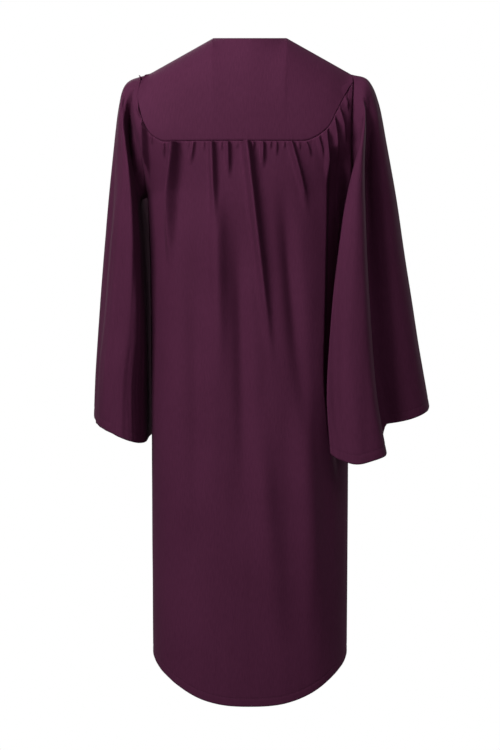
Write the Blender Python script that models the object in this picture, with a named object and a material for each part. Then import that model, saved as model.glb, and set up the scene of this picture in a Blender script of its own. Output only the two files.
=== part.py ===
"""Graduation gown, filled out as worn: hollow cloth walls with a zip in front.

Metres, +Z up. The wearer faces -Y and +X is the wearer's left. The origin lies midway between
the two neck points, where the shoulders hold the gown up. A drop is a distance below the origin.
"""
import math
from bisect import bisect_right
from collections import namedtuple

import bmesh
import bpy
from mathutils import Matrix, Vector


def table(columns, *rows):
    """Rows with named columns."""
    row_type = namedtuple("Row", columns)
    return [row_type(*row) for row in rows]


# Cloth
WALL = 0.0015
SEAM = 0.0003            # clearance between sewn pieces
HALF_SEAM = SEAM / 2
ARMHOLE_SEAM = 0.0010    # a little more where a sleeve's ring stands on the body's curved edge
TIP_SEAM = 0.0012        # added to it at the shoulder tip, where the seam turns sharply
TIP_SHARPNESS = 4        # how soon that fades away from the tip

# Neck, shoulders and armholes
NECK_HALF = 0.071
BACK_NECK_DEPTH = 0.055
BACK_NECK_DROP = 0.0113
BACK_NECK_ROUND = 1.7
V_DEPTH = 0.105
V_DROP = 0.130
CHEST_ROUND = 1.6        # roundness of the chest along the V
TIP_X = 0.199            # half the shoulder width, at the armhole seam
TIP_DROP = 0.072
UNDERARM_DROP = 0.310
ARMHOLE_BACK = 0.070
ARMHOLE_FRONT = 0.060
ARMHOLE_MIDDLE = (TIP_DROP + UNDERARM_DROP) / 2
ARMHOLE_HALF = (UNDERARM_DROP - TIP_DROP) / 2

# How far out each armhole seam lies: the cloth stands out more over the left shoulder
ARMHOLE_LEFT = table(
    "drop x",
    (0.072, 0.1990),
    (0.090, 0.2140),
    (0.118, 0.2245),
    (0.150, 0.2245),
    (0.188, 0.2190),
    (0.225, 0.2105),
    (0.266, 0.2035),
    (0.310, 0.1990),
)
ARMHOLE_RIGHT = table(
    "drop x",
    (0.072, 0.1990),
    (0.090, 0.1985),
    (0.127, 0.1955),
    (0.165, 0.1935),
    (0.210, 0.1925),
    (0.250, 0.1940),
    (0.285, 0.1970),
    (0.310, 0.1990),
)

# Body, as level sections between the two side seams
SQUARENESS = 2.5
BODY = table(
    "drop half_width back front",
    (0.070, 0.199, 0.080, 0.070),
    (0.150, 0.199, 0.105, 0.104),
    (0.217, 0.199, 0.118, 0.119),
    (0.310, 0.199, 0.126, 0.124),
    (0.450, 0.194, 0.128, 0.122),
    (0.700, 0.192, 0.133, 0.124),
    (1.000, 0.190, 0.141, 0.130),
    (1.280, 0.188, 0.150, 0.137),
)
HEM_SIDE_DROP = 1.196
HEM_BACK_DIP = 0.078
HEM_FRONT_DIP = 0.050
HEM_CURVE = 2.6

# Back yoke seam, by sideways part of the half width: level in the middle, rising to each armhole
YOKE_SEAM_LEFT = table(
    "across drop",
    (0.700, 0.2165),
    (0.760, 0.2163),
    (0.791, 0.2146),
    (0.866, 0.2033),
    (0.900, 0.1883),
    (0.919, 0.1733),
    (0.930, 0.1580),
    (0.943, 0.1402),
    (0.955, 0.1146),
    (0.978, 0.0906),
    (1.000, 0.0780),
)
YOKE_SEAM_RIGHT = table(
    "across drop",
    (0.500, 0.2165),
    (0.560, 0.2150),
    (0.640, 0.2085),
    (0.693, 0.2020),
    (0.781, 0.1850),
    (0.831, 0.1640),
    (0.871, 0.1476),
    (0.917, 0.1275),
    (0.956, 0.1110),
    (1.000, 0.0950),
)

# Fronts
CHEST_DROP = 0.200       # below this a front follows the level sections
ZIP_HALF_GAP = 0.0045
ZIP_END_DROP = 1.000
CLOSED_DROP = 1.020

# Gathers and folds of the back: sideways place at the seam and at the lower end, both seen from behind
BACK_FOLDS = table(
    "x_top x_low start length depth half_width",
    (0.2090, 0.2160, 0.000, 0.034, -0.0025, 0.0050),
    (0.1990, 0.1920, 0.000, 0.130, -0.0065, 0.0065),
    (0.1860, 0.1860, 0.000, 0.020, -0.0025, 0.0050),
    (0.1620, 0.1620, 0.000, 0.028, -0.0030, 0.0050),
    (0.1430, 0.1530, 0.000, 0.250, -0.0085, 0.0085),
    (0.1160, 0.1150, 0.000, 0.014, -0.0025, 0.0045),
    (0.1060, 0.1120, 0.000, 0.036, -0.0035, 0.0050),
    (0.0870, 0.0870, 0.000, 0.014, -0.0025, 0.0045),
    (0.0724, 0.0640, 0.000, 0.110, -0.0060, 0.0065),
    (0.0620, 0.0560, 0.060, 0.420, -0.0060, 0.0150),
    (0.0536, 0.0536, 0.000, 0.016, -0.0025, 0.0045),
    (0.0423, 0.0400, 0.000, 0.070, -0.0045, 0.0055),
    (0.0280, 0.0280, 0.000, 0.014, -0.0022, 0.0045),
    (0.0066, -0.0440, 0.000, 0.440, -0.0085, 0.0075),
    (-0.0075, -0.0075, 0.000, 0.014, -0.0022, 0.0045),
    (-0.0235, -0.0240, 0.000, 0.040, -0.0040, 0.0050),
    (-0.0367, -0.0370, 0.000, 0.014, -0.0022, 0.0045),
    (-0.0480, -0.0485, 0.000, 0.028, -0.0030, 0.0050),
    (-0.0630, -0.0630, 0.000, 0.013, -0.0022, 0.0045),
    (-0.0760, -0.1090, 0.000, 0.110, -0.0055, 0.0060),
    (-0.0910, -0.0920, 0.000, 0.014, -0.0022, 0.0045),
    (-0.1040, -0.1160, 0.000, 0.030, -0.0032, 0.0050),
    (-0.1270, -0.1420, 0.000, 0.050, -0.0035, 0.0055),
    (-0.1460, -0.1470, 0.000, 0.115, -0.0070, 0.0065),
    (-0.1585, -0.1610, 0.000, 0.100, -0.0060, 0.0065),
    (-0.1720, -0.1750, 0.000, 0.060, -0.0035, 0.0060),
    (-0.1720, -0.1700, 0.060, 0.640, -0.0220, 0.0210),
    (0.0240, 0.0060, 0.120, 0.620, 0.0045, 0.0160),
    (-0.0600, -0.1060, 0.060, 0.520, 0.0050, 0.0160),
    (0.1050, 0.0960, 0.150, 0.780, 0.0040, 0.0240),
    (-0.0950, -0.1250, 0.420, 0.620, -0.0045, 0.0240),
    (-0.0100, -0.0600, 0.480, 0.560, -0.0040, 0.0260),
)
FOLD_RISE = 0.010        # a gather reaches its depth this far below the seam

# Soft folds of one front, by sideways place on the wearer's left; the right front mirrors them in part
FRONT_FOLDS = table(
    "x_top x_low start length depth half_width",
    (0.0900, 0.0820, 0.060, 1.000, -0.0070, 0.0160),
    (0.1250, 0.1180, 0.160, 0.900, 0.0050, 0.0160),
    (0.1520, 0.1460, 0.040, 0.700, -0.0060, 0.0120),
    (0.0550, 0.0520, 0.330, 0.760, 0.0050, 0.0180),
)
RIGHT_FRONT_SHIFT = 0.011
RIGHT_FRONT_DEPTH = 0.85

# Sleeves, as rings below the armhole: outer and inner sides, back and front ends, how far each end bends
# in beside the body, and how much lower the back end hangs
SLEEVE_LEFT = table(
    "outer_x outer_drop inner_x inner_drop back front back_bend front_bend back_low",
    (0.2400, 0.0870, 0.2120, 0.3150, 0.062, -0.072, -0.010, -0.008, 0.000),
    (0.2550, 0.1320, 0.2150, 0.3350, 0.088, -0.090, -0.012, 0.006, 0.002),
    (0.2640, 0.2060, 0.2140, 0.3640, 0.100, -0.110, -0.010, 0.018, 0.004),
    (0.2740, 0.3000, 0.2105, 0.4180, 0.106, -0.126, -0.006, 0.034, 0.006),
    (0.2850, 0.4080, 0.2060, 0.4930, 0.105, -0.142, -0.002, 0.058, 0.008),
    (0.2950, 0.5340, 0.2015, 0.5920, 0.101, -0.154, 0.002, 0.072, 0.010),
    (0.3020, 0.6350, 0.1995, 0.6840, 0.098, -0.162, 0.005, 0.080, 0.012),
    (0.3075, 0.7350, 0.1985, 0.7800, 0.095, -0.168, 0.008, 0.084, 0.014),
)
SLEEVE_RIGHT = table(
    "outer_x outer_drop inner_x inner_drop back front back_bend front_bend back_low",
    (0.2300, 0.0850, 0.2080, 0.3160, 0.088, -0.072, 0.010, 0.000, 0.000),
    (0.2500, 0.1300, 0.2150, 0.3360, 0.108, -0.086, 0.030, 0.004, 0.004),
    (0.2640, 0.2060, 0.2155, 0.3680, 0.126, -0.098, 0.052, 0.010, 0.010),
    (0.2800, 0.3000, 0.2120, 0.4200, 0.144, -0.108, 0.072, 0.016, 0.018),
    (0.2960, 0.4080, 0.2070, 0.4950, 0.160, -0.116, 0.088, 0.020, 0.026),
    (0.3140, 0.5200, 0.2030, 0.5950, 0.172, -0.122, 0.102, 0.022, 0.034),
    (0.3300, 0.6200, 0.2000, 0.6880, 0.180, -0.128, 0.110, 0.024, 0.040),
    (0.3470, 0.7150, 0.1990, 0.7800, 0.186, -0.134, 0.108, 0.026, 0.046),
)
SLEEVE_SQUARENESS = 2.2
# Sleeve folds, by direction around the sleeve in degrees: 0 outer side, 90 back, 180 inner side, 270 front
LEFT_SLEEVE_FOLDS = table(
    "turn_top turn_low start end depth half_width",
    (35, 22, 1.5, 8.0, -0.010, 11),
    (70, 74, 2.5, 8.0, -0.007, 12),
    (300, 306, 3.2, 8.0, -0.009, 15),
    (255, 250, 3.5, 8.0, 0.007, 13),
)
RIGHT_SLEEVE_FOLDS = table(
    "turn_top turn_low start end depth half_width",
    (38, 35, 1.2, 8.0, -0.030, 12),
    (60, 58, 1.5, 8.0, 0.006, 12),
    (88, 86, 3.0, 8.0, -0.006, 12),
    (312, 304, 2.0, 8.0, -0.012, 13),
    (262, 256, 3.5, 8.0, 0.006, 13),
)

# Mesh density
GATHER_COLUMNS = 128
BACK_COLUMNS = 64
FRONT_COLUMNS = 22
SLEEVE_COLUMNS = 44
YOKE_ROWS = (0.0, 0.16, 0.34, 0.52, 0.70, 0.86, 1.0)
BACK_UPPER_ROWS = (0.0, 0.07, 0.17, 0.32, 0.48, 0.65, 0.82, 1.0)
BACK_DENSE_ROWS = 4
BACK_LOWER_ROWS = (0.07, 0.15, 0.24, 0.35, 0.47, 0.60, 0.73, 0.87, 1.0)
FRONT_UPPER_ROWS = (0.0, 0.10, 0.20, 0.30, 0.42, 0.55, 0.70, 0.85, 1.0)
FRONT_LEVELS = (0.222, 0.244, 0.266, 0.288, UNDERARM_DROP, 0.40, 0.52, 0.66, 0.82, ZIP_END_DROP, CLOSED_DROP)
SLEEVE_ROWS = (0.0, 0.5, 1.0, 1.6, 2.3, 3.0, 4.0, 5.0, 6.0, 7.0, 8.0)

# Zip
TAPE_INNER = 0.0006
TAPE_WALL = 0.0010
SLIDER_DROP = 0.140      # middle of the slider
SLIDER_HALF_WIDTH = 0.0038
SLIDER_HALF_HEIGHT = 0.0055
SLIDER_THICKNESS = 0.0040
BAIL_HALF_WIDTH = 0.0013
BAIL_HALF_HEIGHT = 0.0040
BAIL_RISE = 0.0044
BAIL_OPENING_HALF = 0.0026
BAIL_OPENING_RISE = 0.0030
PULL_AXIS_RISE = 0.0016
PULL_BAR = 0.0014
PULL_THICKNESS = 0.0012
PULL_HALF_WIDTH = 0.0036
PULL_WINDOW_HALF = 0.0022
PULL_WINDOW_END = 0.0052
PULL_LENGTH = 0.0270
PULL_EDGE = 0.0004

ARC_STEPS = 600
SLOPE_STEP = 0.002
ARMHOLE_PULL = 8         # how closely the seam's line is followed beside an armhole
ARMHOLE_CLEAR = 0.025
ARMHOLE_RISE = 0.040
RING_STEP = 0.02
EDGE_T = 0.08            # edges at the neck take the cloth's direction from just below them


def mix(a, b, t):
    return a + (b - a) * t


def ease(t):
    """Smooth step from 0 to 1."""
    t = min(max(t, 0.0), 1.0)
    return t * t * (3 - 2 * t)


def hermite(start, start_pull, end, end_pull, t):
    """Curve from start to end that leaves along start_pull and arrives along end_pull."""
    t2 = t * t
    t3 = t2 * t
    return (start * (2 * t3 - 3 * t2 + 1) + start_pull * (t3 - 2 * t2 + t)
            + end * (3 * t2 - 2 * t3) + end_pull * (t3 - t2))


def smooth_between(keys, values, at):
    """Smooth curve through a table's values."""
    at = min(max(at, keys[0]), keys[-1])
    i = min(max(bisect_right(keys, at) - 1, 0), len(keys) - 2)
    span = keys[i + 1] - keys[i]

    def slope(j):
        low, high = max(j - 1, 0), min(j + 1, len(keys) - 1)
        return (values[high] - values[low]) * (1 / (keys[high] - keys[low]))

    return hermite(values[i], slope(i) * span, values[i + 1], slope(i + 1) * span, (at - keys[i]) / span)


def body_size(name, drop):
    return smooth_between(column(BODY, "drop"), column(BODY, name), drop)


def quarter_section():
    """Angles along a quarter of a level section, by their share of its length."""
    points = []
    for step in range(ARC_STEPS + 1):
        angle = math.pi / 2 * step / ARC_STEPS
        points.append((TIP_X * math.sin(angle) ** (2 / SQUARENESS),
                       BODY[3].back * math.cos(angle) ** (2 / SQUARENESS)))
    lengths = [0.0]
    for before, after in zip(points, points[1:]):
        lengths.append(lengths[-1] + math.dist(before, after))
    return [length / lengths[-1] for length in lengths], lengths[-1]


SHARES, QUARTER_LENGTH = quarter_section()


def section(share):
    """Sideways and depth parts, from 0 to 1, of a place along a quarter section."""
    amount = min(abs(share), 1.0)
    i = min(bisect_right(SHARES, amount) - 1, ARC_STEPS - 1)
    angle = math.pi / 2 * (i + (amount - SHARES[i]) / (SHARES[i + 1] - SHARES[i])) / ARC_STEPS
    sideways = math.sin(angle) ** (2 / SQUARENESS)
    return math.copysign(sideways, share), max(math.cos(angle), 0.0) ** (2 / SQUARENESS)


def share_of(sideways):
    """Place along the quarter section of a sideways part."""
    angle = math.asin(min(abs(sideways), 1.0) ** (SQUARENESS / 2))
    at = angle / (math.pi / 2) * ARC_STEPS
    i = min(int(at), ARC_STEPS - 1)
    return math.copysign(mix(SHARES[i], SHARES[i + 1], at - i), sideways)


def column(rows, name):
    return [getattr(row, name) for row in rows]


def armhole(angle, side, mirror):
    """Point of an armhole seam, as on the left: angle 0 at the shoulder, pi under the arm.

    Side is 1 at the back and -1 at the front, and mirror is 1 for the left armhole and -1 for the right.
    """
    rows = ARMHOLE_LEFT if mirror > 0 else ARMHOLE_RIGHT
    drop = ARMHOLE_MIDDLE - ARMHOLE_HALF * math.cos(angle)
    depth = ARMHOLE_BACK if side > 0 else ARMHOLE_FRONT
    return Vector((smooth_between(column(rows, "drop"), column(rows, "x"), drop),
                   side * depth * abs(math.sin(angle)), -drop))


def armhole_angle(drop):
    return math.acos(min(max((ARMHOLE_MIDDLE - drop) / ARMHOLE_HALF, -1.0), 1.0))


def body_edge(drop, side, mirror):
    """Half width and depth of the body's edge at a drop."""
    if drop < UNDERARM_DROP:
        edge = armhole(armhole_angle(drop), side, mirror)
        return edge.x, abs(edge.y)
    return body_size("half_width", drop), 0.0


def body(share, drop, side, gap=0.0, mirror=0):
    """Point of the smooth body before its folds; side 1 back, -1 front.

    Without a mirror, the sign of share says which half of the body it is.
    """
    sideways, depth = section(share)
    edge_x, edge_y = body_edge(drop, side, mirror or math.copysign(1, share))
    full = body_size("back" if side > 0 else "front", drop)
    x = math.copysign(gap + (edge_x - gap) * abs(sideways), share)
    return Vector((x, side * (HALF_SEAM + edge_y + (full - edge_y) * depth), -drop))


def beside_armhole(point, share, side, mirror):
    """Puts an edge on the armhole seam, and keeps the cloth next to it from reaching past the seam."""
    sideways, depth = section(share)
    drop = max(-point.z, TIP_DROP)
    edge_x, edge_y = body_edge(drop, side, mirror)
    if abs(share) == 1:
        return Vector((math.copysign(edge_x, share), side * (HALF_SEAM + edge_y), -drop))
    x = min(abs(point.x), mix(abs(point.x), abs(sideways) * edge_x, abs(sideways) ** ARMHOLE_PULL))
    clear = ARMHOLE_CLEAR * depth * ease((drop - TIP_DROP) / ARMHOLE_RISE)
    y = max(abs(point.y), HALF_SEAM + edge_y + clear)
    return Vector((math.copysign(x, point.x), side * y, point.z))


def hem_drop(share, dip):
    return HEM_SIDE_DROP + dip * (1 - abs(section(share)[0]) ** HEM_CURVE)


def yoke_drop(share):
    """Drop of the back yoke's seam."""
    rows = YOKE_SEAM_LEFT if share > 0 else YOKE_SEAM_RIGHT
    return smooth_between(column(rows, "across"), column(rows, "drop"), abs(section(share)[0]))


def fold_depth(folds, share, below, half_width):
    """How far the folds move the cloth out or in, at a distance below the top seam."""
    total = 0.0
    for fold in folds:
        reach = below - fold.start
        if not 0 < reach < fold.length:
            continue
        t = reach / fold.length
        rise = FOLD_RISE if fold.start == 0 else fold.length / 3
        strength = ease(reach / rise) * ease((1 - t) * 1.6)
        at = share_of(mix(fold.x_top, fold.x_low, t) / half_width)
        away = (share - at) * QUARTER_LENGTH / fold.half_width
        total += fold.depth * strength * math.exp(-away * away)
    return total


def surface_normal(point, a, b):
    """Normal of point(a, b), turned away from the gown's middle line."""
    a0, a1 = max(a - SLOPE_STEP, -1.0), min(a + SLOPE_STEP, 1.0)
    across = point(a1, b) - point(a0, b)
    b0, b1 = max(b - SLOPE_STEP, 0.0), min(b + SLOPE_STEP, 1.0)
    normal = across.cross(point(a, b1) - point(a, b0)).normalized()
    here = point(a, b)
    if normal.dot(Vector((here.x, here.y, 0))) < 0:
        normal = -normal
    return normal


def fabric(name, colour, roughness, metallic=0.0):
    """Plain material with a part's own colour."""
    material = bpy.data.materials.new(name)
    material.use_nodes = True
    shader = material.node_tree.nodes["Principled BSDF"]
    shader.inputs["Base Color"].default_value = (*colour, 1)
    shader.inputs["Roughness"].default_value = roughness
    shader.inputs["Metallic"].default_value = metallic
    return material


def add_object(name, bm, material, smooth=True):
    """Makes an object of a bmesh and frees it."""
    bmesh.ops.recalc_face_normals(bm, faces=bm.faces[:])
    mesh = bpy.data.meshes.new(name)
    bm.to_mesh(mesh)
    bm.free()
    mesh.materials.append(material)
    if smooth:
        mesh.shade_smooth()
        mesh.set_sharp_from_angle(angle=math.radians(40))
    thing = bpy.data.objects.new(name, mesh)
    bpy.context.scene.collection.objects.link(thing)
    return thing


def zipper(bm, upper, lower):
    """Triangles between two rows of (place, vertex), whatever their counts."""
    i = j = 0
    while i < len(upper) - 1 or j < len(lower) - 1:
        step_upper = j == len(lower) - 1 or (
            i < len(upper) - 1 and upper[i + 1][0] + upper[i][0] <= lower[j + 1][0] + lower[j][0])
        if step_upper:
            bm.faces.new((upper[i][1], upper[i + 1][1], lower[j][1]))
            i += 1
        else:
            bm.faces.new((upper[i][1], lower[j + 1][1], lower[j][1]))
            j += 1


def facing(rows, closed):
    """Directions square to the cloth: as given along its upper and lower edges, elsewhere from its facets."""
    bm = bmesh.new()
    made = [[(place, bm.verts.new(point)) for place, point, _ in row] for row in rows]
    if closed:
        made = [row + [(1.0, row[0][1])] for row in made]
    for upper, lower in zip(made, made[1:]):
        zipper(bm, upper, lower)
    bmesh.ops.recalc_face_normals(bm, faces=bm.faces[:])
    bm.normal_update()
    facets = [[vert.normal.copy() for _, vert in row] for row in made]
    bm.free()
    agree = sum(facet.dot(normal) for side, row in zip(facets, rows)
                for facet, (_, _, normal) in zip(side, row) if normal)
    sign = math.copysign(1, agree)
    found = []
    for number, (side, row) in enumerate(zip(facets, rows)):
        on_rim = number in (0, len(rows) - 1)
        directions = []
        for k, (facet, (_, _, normal)) in enumerate(zip(side, row)):
            given = normal and (on_rim or (not closed and k in (0, len(row) - 1)))
            directions.append(normal if given else facet * sign)
        found.append(directions)
    return found


def cloth_wall(name, rows, material, closed=False, thickness=WALL):
    """Closed wall whose outer side goes through rows of (place, point, normal)."""
    directions = facing(rows, closed)
    bm = bmesh.new()
    sides = []
    for inward in (0.0, thickness):
        side = []
        for row, square in zip(rows, directions):
            side.append([(place, bm.verts.new(point - normal * inward))
                         for (place, point, _), normal in zip(row, square)])
        if closed:
            side = [row + [(1.0, row[0][1])] for row in side]
        sides.append(side)
        for upper, lower in zip(side, side[1:]):
            zipper(bm, upper, lower)
    rims = [(sides[0][row], sides[1][row]) for row in (0, -1)]
    if not closed:
        rims += [([row[end] for row in sides[0]], [row[end] for row in sides[1]]) for end in (0, -1)]
    for outer, inner in rims:
        for k in range(len(outer) - 1):
            bm.faces.new((outer[k][1], outer[k + 1][1], inner[k + 1][1], inner[k][1]))
    bmesh.ops.triangulate(bm, faces=bm.faces[:])
    return add_object(name, bm, material)


def places(count, low, high, exact=()):
    """Even places from low to high, some of them moved to exact ones."""
    found = [mix(low, high, k / count) for k in range(count + 1)]
    for place in exact:
        nearest = min(range(1, count), key=lambda k: abs(found[k] - place))
        found[nearest] = place
    return found


def shoulder_drop(x):
    return TIP_DROP * (x - NECK_HALF) / (TIP_X - NECK_HALF)


def shoulder_normal(x):
    rise = (TIP_X - NECK_HALF) / math.hypot(TIP_X - NECK_HALF, TIP_DROP)
    return Vector((math.copysign(math.sqrt(1 - rise * rise), x), 0, rise))


def back_surface(share, t):
    """Back panel: t from 0 at the yoke seam, over 0.5 at the underarm's level, to 1 at the hem."""
    top = yoke_drop(share) + HALF_SEAM
    if t <= 0.5:
        drop = mix(top, UNDERARM_DROP, t * 2)
    else:
        drop = mix(UNDERARM_DROP, hem_drop(share, HEM_BACK_DIP), t * 2 - 1)
    return body(share, drop, 1), drop - top


def back_base(share, t):
    return back_surface(share, t)[0]


def side_fade(share):
    """Folds die out at the side seams and the armholes."""
    return ease((1 - abs(share)) / 0.06)


def back_point(share, t):
    base, below = back_surface(share, t)
    half_width = body_edge(-base.z, 1, math.copysign(1, share))[0]
    depth = fold_depth(BACK_FOLDS, share, below, half_width) * side_fade(share)
    return base + surface_normal(back_base, share, t) * depth if depth else base


def yoke_top(share):
    """Back yoke's upper edge: the neck between the neck points, then the shoulder seams."""
    x = TIP_X * section(share)[0]
    if abs(x) < NECK_HALF:
        y = BACK_NECK_DEPTH * (1 - (abs(x) / NECK_HALF) ** BACK_NECK_ROUND) ** (1 / BACK_NECK_ROUND)
        return Vector((x, HALF_SEAM + y, -BACK_NECK_DROP * y / BACK_NECK_DEPTH))
    return Vector((x, HALF_SEAM, -shoulder_drop(abs(x))))


def yoke_point(share, t):
    """Back yoke: t from 0 at its upper edge to 1 at the seam."""
    seam_drop = yoke_drop(share) - HALF_SEAM
    start = yoke_top(share)
    end = body(share, seam_drop, 1)
    down = (body(share, seam_drop + SLOPE_STEP, 1) - end).normalized()
    neckness = start.y / BACK_NECK_DEPTH
    leave = Vector((0, 1 - 0.45 * neckness, -0.15 - 0.70 * neckness)).normalized()
    length = (end - start).length
    point = hermite(start, leave * length * 1.1, end, down * length * 0.9, t)
    return beside_armhole(point, share, 1, math.copysign(1, share))


def yoke_normal(share, t):
    if t == 1:
        return surface_normal(back_base, share, 0)
    if t > 0 and abs(share) == 1:
        return None
    if t == 0 and abs(yoke_top(share).x) >= NECK_HALF:
        return shoulder_normal(share)
    normal = surface_normal(yoke_point, min(max(share, -0.996), 0.996), max(t, EDGE_T))
    return -normal if normal.z < -0.3 else normal


def make_back(cloth):
    """Back yoke and gathered back panel."""
    neck_share = share_of(NECK_HALF / TIP_X)
    coarse = places(BACK_COLUMNS, -1, 1, (-neck_share, neck_share))
    fine = places(GATHER_COLUMNS, -1, 1)
    rows = []
    for t in YOKE_ROWS:
        shares = fine if t == 1 else coarse
        rows.append([(share, yoke_point(share, t), yoke_normal(share, t)) for share in shares])
    cloth_wall("back_yoke", rows, cloth)
    rows = []
    levels = [t / 2 for t in BACK_UPPER_ROWS] + [0.5 + t / 2 for t in BACK_LOWER_ROWS]
    for count, t in enumerate(levels):
        shares = fine if count < BACK_DENSE_ROWS else places(BACK_COLUMNS, -1, 1)
        base_only = t == 0
        row = []
        for share in shares:
            flat = base_only or abs(share) == 1
            normal = surface_normal(back_base if flat else back_point, share, t)
            if abs(share) == 1 and t >= 0.5:
                normal = Vector((share, 0, 0))
            elif abs(share) == 1 and t > 0:
                normal = None
            row.append((share, back_point(share, t), normal))
        rows.append(row)
    cloth_wall("back_panel", rows, cloth)


def front_top(share):
    """A left front's upper edge: the V from the zip to the neck point, then the shoulder seam."""
    x = TIP_X * section(share)[0]
    if x < NECK_HALF:
        up = x / NECK_HALF
        forward = V_DEPTH * (1 - up ** CHEST_ROUND) ** (1 / CHEST_ROUND)
        return Vector((mix(ZIP_HALF_GAP, NECK_HALF, up), -HALF_SEAM - forward, -V_DROP * (1 - up)))
    return Vector((x, -HALF_SEAM, -shoulder_drop(x)))


def zip_gap(drop):
    """Half the distance between the front edges."""
    return mix(ZIP_HALF_GAP, HALF_SEAM, ease((drop - ZIP_END_DROP) / (CLOSED_DROP - ZIP_END_DROP)))


def front_base(share, t, mirror):
    """A front as on the left: t from 0 at the upper edge, over 0.5 at the chest, to 1 at the hem."""
    share = abs(share)
    if t > 0.5:
        drop = mix(CHEST_DROP, hem_drop(share, HEM_FRONT_DIP), t * 2 - 1)
        return body(share, drop, -1, zip_gap(drop), mirror)
    start = front_top(share)
    end = body(share, CHEST_DROP, -1, ZIP_HALF_GAP, mirror)
    down = (body(share, CHEST_DROP + SLOPE_STEP, -1, ZIP_HALF_GAP, mirror) - end).normalized()
    steep = ease(1 - start.x / TIP_X) * 0.75 + 0.25 * min(-start.y / V_DEPTH, 1.0)
    leave = Vector((0, -1 + 0.85 * steep, -0.2 - 0.8 * steep)).normalized()
    length = (end - start).length
    point = hermite(start, leave * length, end, down * length * 0.9, t * 2)
    return beside_armhole(point, share, -1, mirror)


def front_maker(mirror):
    """Point function of one front; mirror 1 for the wearer's left, -1 for the right."""
    shift = 0.0 if mirror > 0 else RIGHT_FRONT_SHIFT
    strength = 1.0 if mirror > 0 else RIGHT_FRONT_DEPTH
    folds = [fold._replace(x_top=fold.x_top + shift, x_low=fold.x_low - shift) for fold in FRONT_FOLDS]

    def base_point(share, t):
        return front_base(share, t, mirror)

    def point(share, t):
        base = base_point(share, t)
        below = max(-base.z - shoulder_drop(max(base.x, NECK_HALF)), 0.0)
        half_width = body_edge(-base.z, -1, mirror)[0]
        depth = fold_depth(folds, abs(share), below, half_width) * side_fade(share) * strength * ease(t * 6)
        moved = base + surface_normal(base_point, max(abs(share), SLOPE_STEP), t) * depth if depth else base
        return Vector((moved.x * mirror, moved.y, moved.z))

    return point


def level_share(share, level):
    """The front's t where it has a drop below the chest."""
    return 0.5 + 0.5 * (level - CHEST_DROP) / (hem_drop(share, HEM_FRONT_DIP) - CHEST_DROP)


def make_front(name, mirror, cloth):
    """One front, and the points of its edge beside the zip."""
    point = front_maker(mirror)
    neck_share = share_of(NECK_HALF / TIP_X)
    shares = places(FRONT_COLUMNS, 0, 1, (neck_share,))
    rows = []
    for number in range(len(FRONT_UPPER_ROWS) + len(FRONT_LEVELS) + 2):
        row = []
        for share in shares:
            if number < len(FRONT_UPPER_ROWS):
                t = FRONT_UPPER_ROWS[number] / 2
            elif number < len(FRONT_UPPER_ROWS) + len(FRONT_LEVELS):
                t = level_share(share, FRONT_LEVELS[number - len(FRONT_UPPER_ROWS)])
            elif number == len(FRONT_UPPER_ROWS) + len(FRONT_LEVELS):
                t = (level_share(share, CLOSED_DROP) + 1) / 2
            else:
                t = 1.0
            place = point(share, t)
            inner = min(max(share, 2 * SLOPE_STEP), 0.996 if t < 0.5 else 1.0)
            normal = surface_normal(point, inner, max(t, EDGE_T / 2))
            if share == 0:
                normal = Vector((0, normal.y, normal.z)).normalized()
            if share == 1:
                beside_back = -place.z >= UNDERARM_DROP - HALF_SEAM
                normal = Vector((mirror, 0, 0)) if beside_back else None
            if t == 0 and share >= neck_share:
                normal = shoulder_normal(mirror)
            row.append((share, place, normal))
        rows.append(row)
    cloth_wall(name, rows, cloth)
    return [row[:2] for row in rows]


def ring_part(angle):
    """Rounded-square cosine and sine."""
    c, s = math.cos(angle), math.sin(angle)
    power = 2 / SLEEVE_SQUARENESS
    return math.copysign(abs(c) ** power, c), math.copysign(abs(s) ** power, s)


def sleeve_maker(rows, folds, mirror):
    """Point function of a sleeve: turn in 0 to 1 around it, t from 0 at the armhole to the last ring."""

    def ring(number, angle):
        if number == 0:
            side = 1 if math.sin(angle) >= 0 else -1
            around = angle if side > 0 else 2 * math.pi - angle
            clear = ARMHOLE_SEAM + TIP_SEAM * max(math.cos(angle), 0) ** TIP_SHARPNESS
            return armhole(around, side, mirror) + Vector((clear, 0, 0))
        row = rows[number - 1]
        outer = Vector((row.outer_x, 0, -row.outer_drop))
        inner = Vector((row.inner_x, 0, -row.inner_drop))
        middle = (outer + inner) / 2 + Vector((0, (row.back + row.front) / 2, 0))
        backward = Vector((0, (row.back - row.front) / 2, -row.back_low))
        cosine, sine = ring_part(angle)
        bend = Vector((row.back_bend if sine > 0 else row.front_bend, 0, 0)) * sine * sine
        return middle + (outer - inner) / 2 * cosine + backward * sine - bend

    def point(turn, t):
        angle = (turn % 1.0) * 2 * math.pi
        rings = [ring(number, angle) for number in range(len(rows) + 1)]
        opposite = [ring(number, angle + math.pi if angle < math.pi else angle - math.pi)
                    for number in range(len(rows) + 1)]
        keys = list(range(len(rows) + 1))
        place = smooth_between(keys, rings, t)
        middle = (place + smooth_between(keys, opposite, t)) / 2
        depth = 0.0
        for fold in folds:
            reach = (t - fold.start) / (fold.end - fold.start)
            if reach <= 0:
                continue
            at = math.radians(mix(fold.turn_top, fold.turn_low, reach))
            away = (angle - at + math.pi) % (2 * math.pi) - math.pi
            depth += fold.depth * ease(reach * 1.5) * math.exp(-(away / math.radians(fold.half_width)) ** 2)
        place = place + (place - middle).normalized() * depth
        return Vector((place.x * mirror, place.y, place.z))

    return point


def sleeve_normal(point, turn, t, last, mirror):
    """Outward normal: up the sleeve and around it always meet in the same sense."""
    around = point(turn + SLOPE_STEP, t) - point(turn - SLOPE_STEP, t)
    low, high = max(t - RING_STEP, 0.0), min(t + RING_STEP, last)
    return around.cross(point(turn, low) - point(turn, high)).normalized() * mirror


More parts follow.
